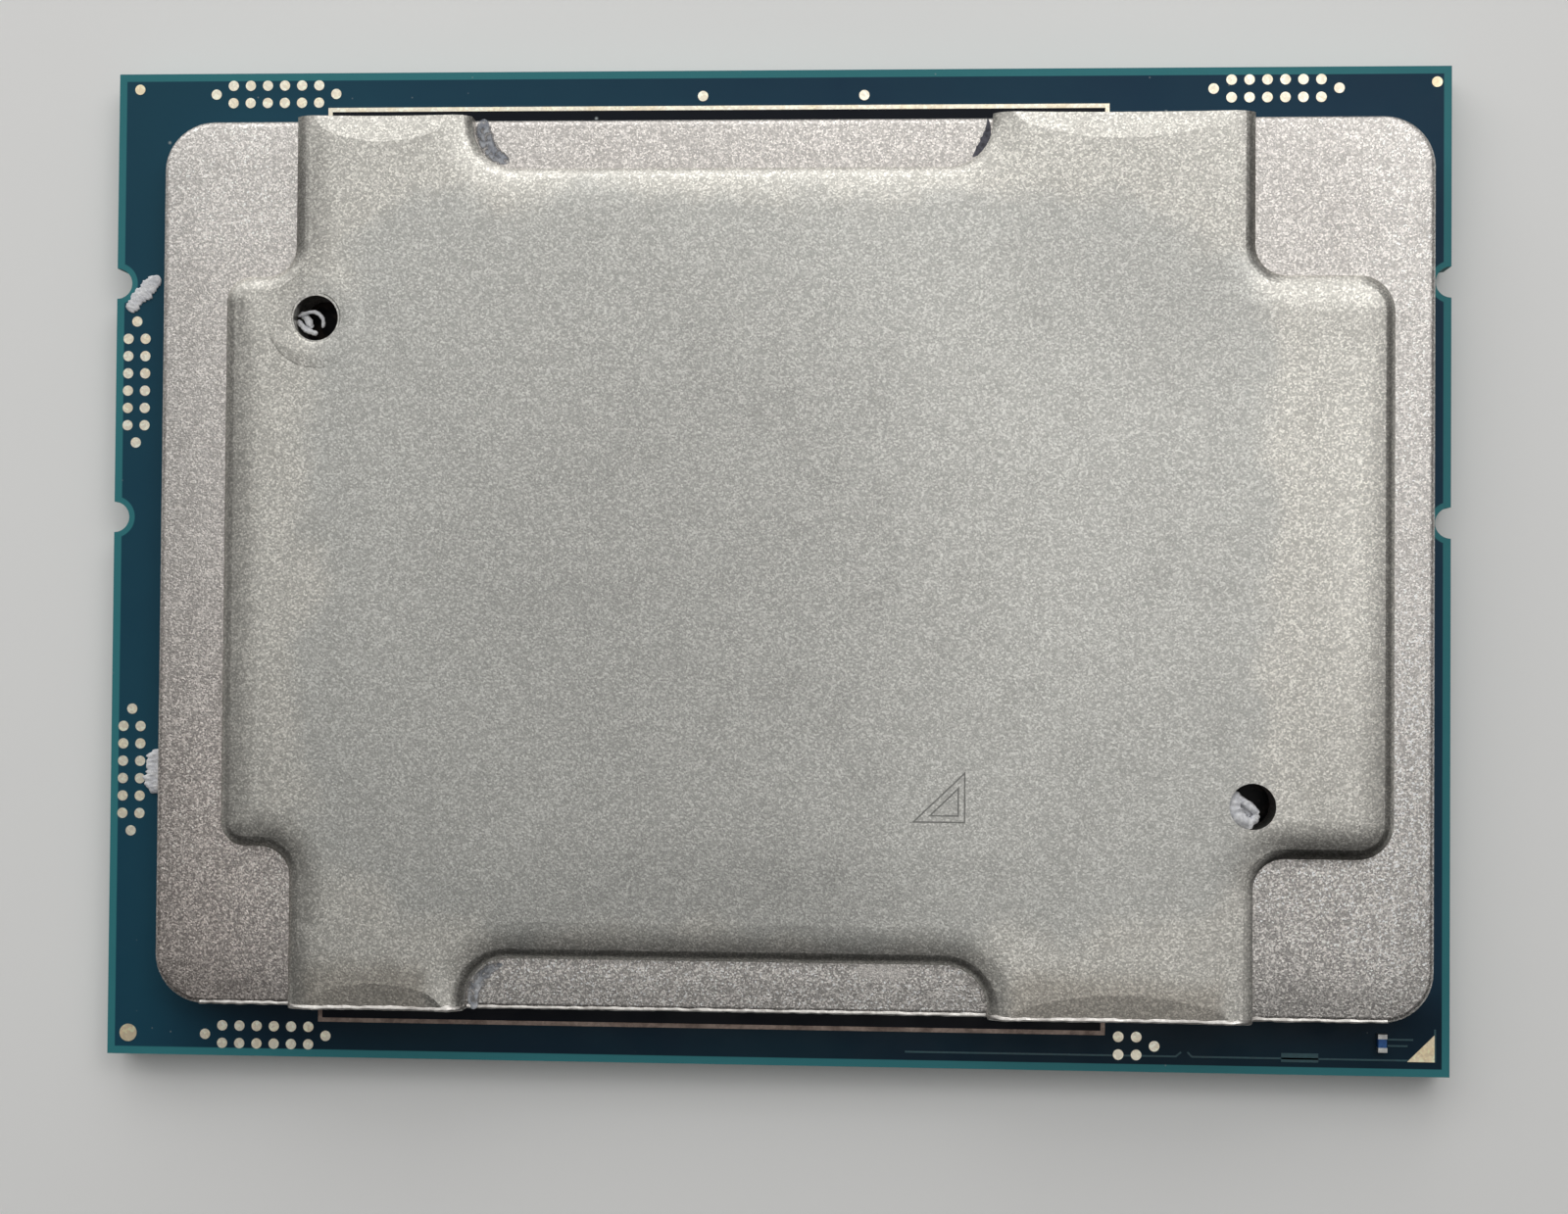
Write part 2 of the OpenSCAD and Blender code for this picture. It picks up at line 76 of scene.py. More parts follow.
def makeCamera():
    data = bpy.data.cameras.new("photoCamera")
    data.lens = camera["lens"]
    data.sensor_width = camera["sensor"]
    data.clip_start, data.clip_end = camera["clip"]
    place = Vector(camera["place"]) * mm
    back = (place - Vector(camera["aim"]) * mm).normalized()
    level = Vector((0, 1, 0)).cross(back).normalized()
    upright = back.cross(level)
    roll = math.radians(camera["roll"])
    right = level * math.cos(roll) + upright * math.sin(roll)
    up = back.cross(right)
    turn = Matrix((right, up, back)).transposed()
    eye = bpy.data.objects.new("photoCamera", data)
    eye.matrix_world = Matrix.Translation(place) @ turn.to_4x4()
    bpy.context.scene.collection.objects.link(eye)
    bpy.context.scene.camera = eye


# shader building
def feed(tree, socket, value):
    if isinstance(value, bpy.types.NodeSocket):
        tree.links.new(value, socket)
    else:
        socket.default_value = value


def addNode(tree, kind, feeds=None, **settings):
    node = tree.nodes.new("ShaderNode" + kind)
    for key, value in settings.items():
        setattr(node, key, value)
    for key, value in (feeds or {}).items():
        feed(tree, node.inputs[key], value)
    return node


def calc(tree, operation, *values):
    node = addNode(tree, "Math", operation=operation)
    for socket, value in zip(node.inputs, values):
        feed(tree, socket, value)
    return node.outputs[0]


def product(tree, value, *others):
    for other in others:
        value = calc(tree, "MULTIPLY", value, other)
    return value


def vectorCalc(tree, operation, *values):
    node = addNode(tree, "VectorMath", operation=operation)
    for socket, value in zip(node.inputs, values):
        feed(tree, socket, value)
    return node


def step(tree, value, low, high):        # smooth 0 to 1 as value goes from low to high
    node = addNode(tree, "MapRange", interpolation_type="SMOOTHSTEP")
    for socket, x in zip(node.inputs, (value, low, high, 0.0, 1.0)):
        feed(tree, socket, x)
    return node.outputs[0]


def span(tree, value, low, high):        # plain 0..1 stretched to low..high
    node = addNode(tree, "MapRange")
    for socket, x in zip(node.inputs, (value, 0.0, 1.0, low, high)):
        feed(tree, socket, x)
    return node.outputs[0]


def mixValue(tree, factor, a, b):
    node = addNode(tree, "Mix", data_type="FLOAT")
    for index, value in zip((0, 2, 3), (factor, a, b)):
        feed(tree, node.inputs[index], value)
    return node.outputs[0]


def mixColor(tree, factor, a, b, mode="MIX"):
    node = addNode(tree, "Mix", data_type="RGBA", blend_type=mode)
    for index, value in zip((0, 6, 7), (factor, a, b)):
        feed(tree, node.inputs[index], value)
    return node.outputs[2]


def shadeBy(tree, color, value):         # a colour times a value
    grey = addNode(tree, "CombineColor", {"Red": value, "Green": value, "Blue": value}).outputs[0]
    return mixColor(tree, 1.0, color, grey, "MULTIPLY")


def rgb(red, green, blue):
    return (red, green, blue, 1.0)


def newGroup(name, inputs, outputs):
    group = bpy.data.node_groups.new(name, "ShaderNodeTree")
    for title, kind in inputs:
        group.interface.new_socket(title, in_out="INPUT", socket_type="NodeSocket" + kind)
    for title, kind in outputs:
        group.interface.new_socket(title, in_out="OUTPUT", socket_type="NodeSocket" + kind)
    entry = group.nodes.new("NodeGroupInput").outputs
    leave = group.nodes.new("NodeGroupOutput").inputs
    return group, entry, leave


def useGroup(tree, group, feeds):
    node = tree.nodes.new("ShaderNodeGroup")
    node.node_tree = group
    for key, value in feeds.items():
        feed(tree, node.inputs[key], value)
    return node.outputs


# blasted grain: noise for the height, and cells of random brightness, squared so that only a few are bright
def makeBlastGrain():
    tree, entry, leave = newGroup(
        "blastGrain",
        [("Vector", "Vector"), ("Cells", "Float")],
        [("Height", "Float"), ("Speck", "Float")],
    )
    height = addNode(tree, "TexNoise", {
        "Vector": entry["Vector"], "Scale": entry["Cells"], "Detail": 2.0, "Roughness": 0.6})
    cell = addNode(tree, "TexVoronoi", {"Vector": entry["Vector"], "Scale": entry["Cells"]})
    lot = addNode(tree, "SeparateColor", {"Color": cell.outputs["Color"]}).outputs[0]
    feed(tree, leave["Height"], height.outputs[0])
    feed(tree, leave["Speck"], product(tree, lot, lot))
    return tree


# cloudy stains: broad noise cut between two levels
def makeClouds():
    tree, entry, leave = newGroup(
        "clouds",
        [("Vector", "Vector"), ("Scale", "Float"), ("Low", "Float"), ("High", "Float")],
        [("Mask", "Float")],
    )
    noise = addNode(tree, "TexNoise", {
        "Vector": entry["Vector"], "Scale": entry["Scale"], "Detail": 4.0, "Roughness": 0.55})
    feed(tree, leave["Mask"], step(tree, noise.outputs[0], entry["Low"], entry["High"]))
    return tree


# dust: a small round spot in some of the cells of a cell pattern
def makeDust():
    tree, entry, leave = newGroup(
        "dust",
        [("Vector", "Vector"), ("Cells", "Float"), ("Size", "Float"), ("Share", "Float")],
        [("Mask", "Float")],
    )
    cell = addNode(tree, "TexVoronoi", {"Vector": entry["Vector"], "Scale": entry["Cells"]})
    lot = addNode(tree, "SeparateColor", {"Color": cell.outputs["Color"]})
    spot = step(tree, cell.outputs["Distance"], entry["Size"], 0.0)
    chosen = calc(tree, "LESS_THAN", lot.outputs[0], entry["Share"])
    feed(tree, leave["Mask"], product(tree, spot, chosen))
    return tree


# distance in plan from a rectangle with round corners: negative inside, 0 on the outline
def makeRoundBox():
    tree, entry, leave = newGroup(
        "roundBox",
        [("Vector", "Vector"), ("Centre", "Vector"), ("Half", "Vector"), ("Corner", "Float")],
        [("Distance", "Float")],
    )
    flat = vectorCalc(tree, "MULTIPLY", entry["Vector"], (1, 1, 0)).outputs[0]
    away = vectorCalc(tree, "SUBTRACT", flat, entry["Centre"]).outputs[0]
    away = vectorCalc(tree, "ABSOLUTE", away).outputs[0]
    away = vectorCalc(tree, "SUBTRACT", away, entry["Half"]).outputs[0]
    corner = addNode(tree, "CombineXYZ", {"X": entry["Corner"], "Y": entry["Corner"]}).outputs[0]
    away = vectorCalc(tree, "ADD", away, corner).outputs[0]
    beyond = vectorCalc(tree, "MAXIMUM", away, (0, 0, 0)).outputs[0]
    reach = vectorCalc(tree, "LENGTH", beyond).outputs["Value"]
    parts = addNode(tree, "SeparateXYZ", {"Vector": away})
    inside = calc(tree, "MINIMUM", calc(tree, "MAXIMUM", parts.outputs[0], parts.outputs[1]), 0.0)
    feed(tree, leave["Distance"], calc(tree, "SUBTRACT", calc(tree, "ADD", reach, inside), entry["Corner"]))
    return tree


blastGrain = makeBlastGrain()
clouds = makeClouds()
dust = makeDust()
roundBox = makeRoundBox()


def newMaterial(name):
    material = bpy.data.materials.new(name)
    material.use_nodes = True
    tree = material.node_tree
    shader = tree.nodes["Principled BSDF"]
    place = addNode(tree, "TexCoord").outputs["Object"]
    place = vectorCalc(tree, "SCALE", place)
    place.inputs["Scale"].default_value = 1 / mm    # patterns are laid out in millimetres
    return material, tree, shader, place.outputs[0]


def addBump(tree, shader, height, depth):
    bump = addNode(tree, "Bump", {"Strength": 1.0, "Distance": depth * mm, "Height": height})
    feed(tree, shader.inputs["Normal"], bump.outputs[0])


# blasted nickel: coarse warm grain on the flange, finer greenish grain where the top was pressed flat;
# a pair named x, y or fade holds the places, in millimetres, where a mark starts and where it is full
nickel = {
    "flange": rgb(0.624, 0.594, 0.566),
    "paintedLighter": rgb(0.70, 0.67, 0.64),           # painted light: flange lighter on the right and in the far left corner
    "right": {"x": (30.0, 36.0)},
    "farLeft": {"x": (-22.0, -30.0), "y": (14.0, 21.0)},
    # brown tarnish and painted shade: the flange browner and darker towards the near left
    "tarnishAndShade": rgb(0.56, 0.504, 0.472),
    "nearLeft": {"x": (-20.0, -33.0), "y": (10.0, -26.0)},
    "rim": rgb(0.605, 0.588, 0.545),
    "rimFade": (0.02, 0.5),                     # above the flange
    "flat": rgb(0.52, 0.516, 0.488),
    "flatArea": {"Centre": (0.6, 0.0, 0.0), "Half": (26.6, 20.4, 0.0), "Corner": 9.0},
    "flatFade": (1.2, -1.2),
    "flatWander": 3.5,
    "warp": {"Scale": 0.22, "Detail": 3.0},     # noise that the marks' edges wander by
    "cells": 11.0,                              # grains per millimetre
    "rough": (0.42, 0.38),                      # flange and top
    "grain": (0.026, 0.014),                    # bump depth in millimetres, flange and top
    "flangeSpeck": (0.72, 1.56),                # darkest and brightest grain
    "nearSpeck": (0.60, 1.86),                  # the same on the near part of the flange
    "nearSpeckY": (2.0, -16.0),
    "rimSpeck": (0.75, 1.50),
    "flatSpeck": (0.80, 1.40),
    "stain": {"Scale": 0.16, "Low": 0.42, "High": 0.68},
    "stainShade": (1.01, 0.975),
    "smudge": {"Scale": 0.55, "Low": 0.5, "High": 0.75},
    "smudgeShade": (1.0, 0.98),
    "smudgeRough": (-0.02, 0.05),
    "paintedLightOvals": (                                  # painted light and shade: soft areas of the top, lighter or darker than the rest
        {"centre": (-3.0, 1.0, lidTop), "half": (20.0, 27.0, 9.0), "paintedLightShare": 0.86},
        {"centre": (23.0, 18.0, lidTop), "half": (17.0, 12.0, 9.0), "paintedLightShare": 0.87},
        {"centre": (-3.0, -19.5, lidTop), "half": (20.0, 6.5, 9.0), "paintedLightShare": 0.84},
        {"centre": (30.8, -16.2, lidTop), "half": (7.5, 2.6, 9.0), "paintedLightShare": 0.40},
        {"centre": (-26.8, 20.0, lidTop), "half": (2.6, 8.0, 9.0), "paintedLightShare": 0.62},
        {"centre": (-24.5, -1.0, lidTop), "half": (6.5, 19.0, 9.0), "paintedLightShare": 1.05},
        {"centre": (-31.5, 6.0, lidTop), "half": (3.5, 14.0, 9.0), "paintedLightShare": 0.90},
        {"centre": (33.0, 0.0, lidTop), "half": (3.5, 14.0, 9.0), "paintedLightShare": 1.12},
    ),
    "ovalFade": (1.0, 0.2),                     # in half sizes
    "nearPaintedShade": 0.83,                            # painted shade: what is left of the flange's brightness in its near corners
    "nearPaintedShadeX": (18.0, 22.0),
    "nearPaintedShadeY": (-17.0, -24.5),
    "scuff": {"Centre": (6.5, -22.55, 0.0), "Half": (1.3, 0.36, 0.0), "Corner": 0.2},
    "scuffFade": (0.3, -0.3),
    "scuffWander": 0.3,
    "scuffShade": 1.16,
    "scuffShare": 0.55,
    "droop": (0.10, 0.17),                      # how far the flange sinks towards its far and near edges
    "droopY": (-8.0, -20.0),
    "droopFade": (-2.4, 0.96),                  # from the lid's outline
    "nearTabs": (                               # where the near tabs sink
        {"x": (-26.4, -25.2), "endX": (-18.2, -19.4)},
        {"x": (12.8, 14.0), "endX": (25.6, 24.4)},
    ),
    # brown stain and painted shade on the near tabs' sunk crescents, whose eased slopes shade less
    "tabStainAndShade": rgb(0.76, 0.735, 0.71),
    "tabStainAndShadeY": (-21.6, -23.4),
    "tabWander": 1.2,
    "tabEase": 0.65,                            # share of the near crescents' slope that wear evens out
    "tabEaseY": (-20.0, -21.0),
    "slopes": (                                 # slopes of the top that shade less than they fall
        {"x": (-29.9, -28.9), "endX": (-25.0, -26.2), "y": (12.0, 13.0), "share": 0.85, "depth": 0.14},
        {"x": (24.8, 25.4), "endX": (29.2, 26.8), "y": (-14.6, -16.2), "share": 0.70, "depth": 1.0},
    ),
}


# a mark's mask: its fades in x, at its other end in x, and in y, multiplied
def fadeIn(tree, x, y, mark):
    fades = [step(tree, place, *mark[key]) for key, place in (("x", x), ("endX", x), ("y", y)) if key in mark]
    return product(tree, *fades)


def makeNickel():
    material, tree, shader, place = newMaterial("blastedNickel")
    x, y, z = addNode(tree, "SeparateXYZ", {"Vector": place}).outputs
    grain = useGroup(tree, blastGrain, {"Vector": place, "Cells": nickel["cells"]})
    warp = addNode(tree, "TexNoise", {"Vector": place, **nickel["warp"]}).outputs[0]
    stain = useGroup(tree, clouds, {"Vector": place, **nickel["stain"]})["Mask"]
    smudge = useGroup(tree, clouds, {"Vector": place, **nickel["smudge"]})["Mask"]

    def wander(value, reach):
        return calc(tree, "ADD", value, span(tree, warp, -reach, reach))

    # where the raised top, its flat part and the sunk tabs are
    raised = step(tree, z, *(flangeTop + rise for rise in nickel["rimFade"]))
    area = useGroup(tree, roundBox, {"Vector": place, **nickel["flatArea"]})["Distance"]
    pressed = product(tree, step(tree, wander(area, nickel["flatWander"]), *nickel["flatFade"]), raised)
    leftTab, rightTab = (fadeIn(tree, x, y, tab) for tab in nickel["nearTabs"])
    tabs = product(tree, calc(tree, "ADD", leftTab, rightTab), raised)

    # colour
    # painted light: the flange's colour made lighter on the right and in the far left corner
    farLeft, nearLeft, right = (fadeIn(tree, x, y, nickel[key]) for key in ("farLeft", "nearLeft", "right"))
    paintedLighter = calc(tree, "MAXIMUM", farLeft, right)
    color = mixColor(tree, paintedLighter, nickel["flange"], nickel["paintedLighter"])
    # brown tarnish and painted shade towards the near left
    color = mixColor(tree, nearLeft, color, nickel["tarnishAndShade"])
    color = mixColor(tree, raised, color, nickel["rim"])
    color = mixColor(tree, pressed, color, nickel["flat"])
    # painted shade with a brown stain on the near tabs' crescents
    stained = product(tree, tabs, step(tree, wander(y, nickel["tabWander"]), *nickel["tabStainAndShadeY"]))
    color = mixColor(tree, stained, color, mixColor(tree, 1.0, color, nickel["tabStainAndShade"], "MULTIPLY"))

    # shade of the grains and stains, and painted light and shade in the near corners and the ovals
    coarse = step(tree, y, *nickel["nearSpeckY"])
    limits = []
    for far, near, rim, flat in zip(
            nickel["flangeSpeck"], nickel["nearSpeck"], nickel["rimSpeck"], nickel["flatSpeck"]):
        limit = mixValue(tree, raised, mixValue(tree, coarse, far, near), rim)
        limits.append(mixValue(tree, pressed, limit, flat))
    shade = span(tree, grain["Speck"], *limits)
    # painted shade in the flange's near corners
    corners = step(tree, calc(tree, "ABSOLUTE", x), *nickel["nearPaintedShadeX"])
    corners = product(tree, corners, step(tree, y, *nickel["nearPaintedShadeY"]), span(tree, raised, 1.0, 0.0))
    shade = product(tree, shade, span(tree, corners, 1.0, nickel["nearPaintedShade"]))
    shade = product(tree, shade, span(tree, stain, *nickel["stainShade"]))
    shade = product(tree, shade, span(tree, smudge, *nickel["smudgeShade"]))
    # painted light and shade in soft ovals on the top
    for oval in nickel["paintedLightOvals"]:
        away = vectorCalc(tree, "SUBTRACT", place, oval["centre"]).outputs[0]
        away = vectorCalc(tree, "DIVIDE", away, oval["half"]).outputs[0]
        away = vectorCalc(tree, "LENGTH", away).outputs["Value"]
        inside = product(tree, step(tree, away, *nickel["ovalFade"]), raised)
        shade = product(tree, shade, span(tree, inside, 1.0, oval["paintedLightShare"]))
    away = useGroup(tree, roundBox, {"Vector": place, **nickel["scuff"]})["Distance"]
    scuffed = step(tree, wander(away, nickel["scuffWander"]), *nickel["scuffFade"])
    shade = mixValue(tree, product(tree, scuffed, nickel["scuffShare"]), shade, nickel["scuffShade"])
    feed(tree, shader.inputs["Base Color"], shadeBy(tree, color, shade))

    rough = mixValue(tree, raised, *nickel["rough"])
    rough = calc(tree, "ADD", rough, span(tree, smudge, *nickel["smudgeRough"]))
    feed(tree, shader.inputs["Roughness"], rough)

    # height of the grain, of the flange's sinking edge and of the eased slopes
    height = product(tree, grain["Height"], mixValue(tree, raised, *nickel["grain"]))
    low, high = lidLow / mm, lidHigh / mm
    middle, half = (low + high) / 2, (high - low) / 2
    outline = useGroup(tree, roundBox, {
        "Vector": place, "Centre": (middle[0], middle[1], 0), "Half": (half[0], half[1], 0),
        "Corner": lid["cornerRadius"]})["Distance"]
    depth = mixValue(tree, step(tree, y, *nickel["droopY"]), *nickel["droop"])
    droop = product(tree, step(tree, outline, *nickel["droopFade"]), mixValue(tree, raised, depth, 0.0))
    height = calc(tree, "SUBTRACT", height, droop)
    sunk = calc(tree, "SUBTRACT", lidTop, z)
    eased = product(tree, sunk, tabs, nickel["tabEase"], step(tree, y, *nickel["tabEaseY"]))
    height = calc(tree, "ADD", height, eased)
    for slope in nickel["slopes"]:
        eased = product(tree, calc(tree, "MINIMUM", sunk, slope["depth"]), fadeIn(tree, x, y, slope), raised)
        height = calc(tree, "ADD", height, product(tree, eased, slope["share"]))
    addBump(tree, shader, height, 1.0)
    shader.inputs["Metallic"].default_value = 1.0
    return material


# solder mask over laminate: a bare lighter border on the faces, pressed layers on the edges
board = {
    "mask": rgb(0.007, 0.036, 0.070),
    "maskLeft": rgb(0.009, 0.057, 0.094),
    "left": {"x": (10.0, -38.0)},
    # painted shadow of the lid on the mask along the near edge
    "paintedNearShadow": rgb(0.0015, 0.015, 0.031),
    "near": {"x": (-37.0, -27.0), "y": (-22.0, -25.5)},
    "maskDark": rgb(0.001, 0.003, 0.008),       # between the tracks and the lid
    "darkInset": 0.1,
    "darkFade": (0.02, -0.04),
    "underLidShadeAndResidue": (rgb(0.004, 0.004, 0.006), rgb(0.035, 0.026, 0.022)),     # painted shade under the lid, with residue in clouds
    "coveredArea": {"Centre": (0.0, 0.0, 0.0), "Half": (33.0, 23.0, 0.0), "Corner": 2.0},
    "coveredFade": (0.0, -1.0),
    "residue": {"Scale": 0.8, "Low": 0.5, "High": 0.6},
    "drift": {"Scale": 0.12, "Low": 0.3, "High": 0.7},
    "driftShare": 0.04,
    "border": rgb(0.036, 0.20, 0.225),
    "borderWidth": 0.43,
    "borderFade": 0.03,
    "notchRing": 0.32,
    "notchRadius": 0.875,
    "notches": (16.1, 2.6),
    "dust": rgb(0.36, 0.40, 0.40),
    "specks": {"Cells": 0.9, "Size": 0.07, "Share": 0.35},
    "speckShare": 0.5,
    "lint": {"Cells": 0.28, "Size": 0.04, "Share": 0.4},
    "edge": rgb(0.032, 0.136, 0.144),
    "layer": rgb(0.088, 0.216, 0.20),
    "layerPitch": 0.24,
    "layerFade": (0.2, 0.9),
    "fibre": {"Scale": 6.0, "Detail": 3.0},
    "fibreShare": (0.2, 1.0),
    "handled": {"Scale": 0.4, "Low": 0.35, "High": 0.75},
    "rough": (0.34, 0.5),                       # clean and handled
    "edgeRough": 0.6,
    "ripple": {"Scale": 1.6, "Detail": 3.0},
    "layerRise": 4.0,                           # in heights of the ripple
    "dustRise": 2.0,
    "bump": 0.006,                              # height of the ripple in millimetres
    "gloss": 0.14,
}


def makeBoard():
    material, tree, shader, place = newMaterial("solderMask")
    x, y, z = addNode(tree, "SeparateXYZ", {"Vector": place}).outputs
    half = boardHigh / mm
    facing = addNode(tree, "NewGeometry").outputs["Normal"]
    facing = addNode(tree, "SeparateXYZ", {"Vector": facing}).outputs[2]
    side = calc(tree, "LESS_THAN", calc(tree, "ABSOLUTE", facing), 0.5)
    upward = calc(tree, "GREATER_THAN", facing, 0.5)

    # bare border along the outline and round the notches
    outline = useGroup(tree, roundBox, {
        "Vector": place, "Centre": (0, 0, 0), "Half": (half[0], half[1], 0), "Corner": 0.0})["Distance"]
    fade = board["borderFade"]
    bare = step(tree, outline, -board["borderWidth"] - fade, -board["borderWidth"] + fade)
    mirrored = addNode(tree, "CombineXYZ", {"X": calc(tree, "ABSOLUTE", x), "Y": y}).outputs[0]
    ring = board["notchRadius"] + board["notchRing"]
    for notch in board["notches"]:
        reach = vectorCalc(tree, "DISTANCE", mirrored, (half[0], notch, 0)).outputs["Value"]
        bare = calc(tree, "MAXIMUM", bare, step(tree, reach, ring + fade, ring - fade))

    # mask: lighter on the left; a painted shadow of the lid along the near edge; darker beside the lid;
    # painted shade with residue under the lid
    mask = mixColor(tree, fadeIn(tree, x, y, board["left"]), board["mask"], board["maskLeft"])
    mask = mixColor(tree, product(tree, fadeIn(tree, x, y, board["near"]), upward), mask, board["paintedNearShadow"])
    drift = useGroup(tree, clouds, {"Vector": place, **board["drift"]})["Mask"]
    mask = mixColor(tree, product(tree, drift, board["driftShare"]), mask, board["border"])
    low, high = (np.array(corner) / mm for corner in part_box("track_far"))
    between = useGroup(tree, roundBox, {
        "Vector": place, "Centre": ((low[0] + high[0]) / 2, 0, 0),
        "Half": ((high[0] - low[0]) / 2, high[1] - board["darkInset"], 0), "Corner": 0.0})["Distance"]
    between = product(tree, step(tree, between, *board["darkFade"]), upward)
    mask = mixColor(tree, between, mask, board["maskDark"])
    # painted shade: the mask under the lid made near black, with residue in clouds
    hidden = useGroup(tree, roundBox, {"Vector": place, **board["coveredArea"]})["Distance"]
    hidden = product(tree, step(tree, hidden, *board["coveredFade"]), upward)
    residue = useGroup(tree, clouds, {"Vector": place, **board["residue"]})["Mask"]
    mask = mixColor(tree, hidden, mask, mixColor(tree, residue, *board["underLidShadeAndResidue"]))
    color = mixColor(tree, bare, mask, board["border"])
    specks = useGroup(tree, dust, {"Vector": place, **board["specks"]})["Mask"]
    lint = useGroup(tree, dust, {"Vector": place, **board["lint"]})["Mask"]
    specks = calc(tree, "MAXIMUM", product(tree, specks, board["speckShare"]), lint)
    color = mixColor(tree, specks, color, board["dust"])

    # pressed layers on the edges
    wave = calc(tree, "SINE", product(tree, z, 2 * math.pi / board["layerPitch"]))
    fibre = addNode(tree, "TexNoise", {"Vector": place, **board["fibre"]}).outputs[0]
    layers = product(tree, step(tree, wave, *board["layerFade"]), span(tree, fibre, *board["fibreShare"]))
    edge = mixColor(tree, layers, board["edge"], board["layer"])
    feed(tree, shader.inputs["Base Color"], mixColor(tree, side, color, edge))

    handled = useGroup(tree, clouds, {"Vector": place, **board["handled"]})["Mask"]
    rough = mixValue(tree, side, span(tree, handled, *board["rough"]), board["edgeRough"])
    feed(tree, shader.inputs["Roughness"], rough)
    ripple = addNode(tree, "TexNoise", {"Vector": place, **board["ripple"]}).outputs[0]
    height = mixValue(tree, side, ripple, product(tree, layers, board["layerRise"]))
    height = calc(tree, "ADD", height, product(tree, specks, board["dustRise"]))
    addBump(tree, shader, height, board["bump"])
    shader.inputs["Specular IOR Level"].default_value = board["gloss"]
    return material


# plated metals share one build: a tint with stains, a grain and a bump
plate = {
    "stain": {"Scale": 1.1, "Low": 0.4, "High": 0.7},
    "speck": (0.9, 1.2),        # darkest and brightest grain
    "stainRough": 0.12,         # how much rougher a stain is
}


def makePlate(name, tint, stained, rough, cells, depth):
    material, tree, shader, place = newMaterial(name)
    grain = useGroup(tree, blastGrain, {"Vector": place, "Cells": cells})
    stain = useGroup(tree, clouds, {"Vector": place, **plate["stain"]})["Mask"]
    color = mixColor(tree, stain, tint, stained)
    shade = span(tree, grain["Speck"], *plate["speck"])
    feed(tree, shader.inputs["Base Color"], shadeBy(tree, color, shade))
    feed(tree, shader.inputs["Roughness"], span(tree, stain, rough, rough + plate["stainRough"]))
    addBump(tree, shader, grain["Height"], depth)
    shader.inputs["Metallic"].default_value = 1.0
    return material


# matt stuffs share one build: two tones in clouds, lumps and a fine grain
matt = {
    "levels": {"Low": 0.35, "High": 0.65},
    "speck": (0.88, 1.05),
    "cloudRough": 0.15,
    "finer": 4,                 # grains to a cloud
    "grainShare": 0.5,          # of the bump
}


def makeMatt(name, tint, second, rough, scale, depth):
    material, tree, shader, place = newMaterial(name)
    cloud = useGroup(tree, clouds, {"Vector": place, "Scale": scale, **matt["levels"]})["Mask"]
    grain = useGroup(tree, blastGrain, {"Vector": place, "Cells": scale * matt["finer"]})
    color = mixColor(tree, cloud, tint, second)
    shade = span(tree, grain["Speck"], *matt["speck"])
    feed(tree, shader.inputs["Base Color"], shadeBy(tree, color, shade))
    feed(tree, shader.inputs["Roughness"], span(tree, cloud, rough, min(rough + matt["cloudRough"], 1.0)))
    addBump(tree, shader, mixValue(tree, matt["grainShare"], cloud, grain["Height"]), depth)
    return material


# each finish: its name, two tints, roughness, grains or clouds per millimetre, bump depth in millimetres
finish = {
    "nickel": makeNickel(),
    "board_mask": makeBoard(),
    "gold": makePlate("paleGold", rgb(0.95, 0.89, 0.74), rgb(0.92, 0.82, 0.63), 0.38, 7.0, 0.004),
    "tin": makePlate("dullTin", rgb(0.60, 0.60, 0.58), rgb(0.46, 0.46, 0.455), 0.38, 12.0, 0.006),
    "solder": makePlate("softSolder", rgb(0.70, 0.70, 0.73), rgb(0.55, 0.55, 0.58), 0.45, 4.0, 0.01),
    "silicon": makePlate("silicon", rgb(0.20, 0.21, 0.25), rgb(0.16, 0.17, 0.21), 0.18, 2.0, 0.001),
    "sealant": makeMatt("blackSealant", rgb(0.012, 0.012, 0.013), rgb(0.03, 0.03, 0.031), 0.55, 1.5, 0.02),
    "resin": makeMatt("underfillResin", rgb(0.03, 0.026, 0.02), rgb(0.055, 0.047, 0.035), 0.4, 1.2, 0.01),
    "chip_ceramic": makeMatt("brownCeramic", rgb(0.23, 0.15, 0.09), rgb(0.30, 0.21, 0.13), 0.5, 6.0, 0.004),
    "chip_blue": makeMatt("blueCeramic", rgb(0.012, 0.078, 0.29), rgb(0.03, 0.13, 0.39), 0.5, 6.0, 0.004),
    "paste": makeMatt("driedPaste", rgb(0.72, 0.73, 0.77), rgb(0.88, 0.885, 0.90), 0.7, 3.0, 0.02),
}
for part in frame["record"]["subparts"]:
    slots = nodes[part["node"]].material_slots
    slots[0].material = finish[part["material_slot"]]
# painted light: a warmer copy of the gold for the near corner pads and pin one triangle, for how the light
# falls there
finish["cornerGold"] = makePlate("paintedLightGold", rgb(0.98, 0.84, 0.60), rgb(0.96, 0.80, 0.54), 0.36, 7.0, 0.004)
for name in ("corner_pads", "pin_one_triangle"):
    nodes[name].material_slots[0].material = finish["cornerGold"]
# painted shade: a dark copy of the gold for the near track, in the lid's shadow
finish["dullTrack"] = makePlate("paintedShadeGold", rgb(0.30, 0.235, 0.20), rgb(0.225, 0.17, 0.145), 0.45, 7.0, 0.004)
nodes["track_near"].material_slots[0].material = finish["dullTrack"]
print("materials set:", len(finish))


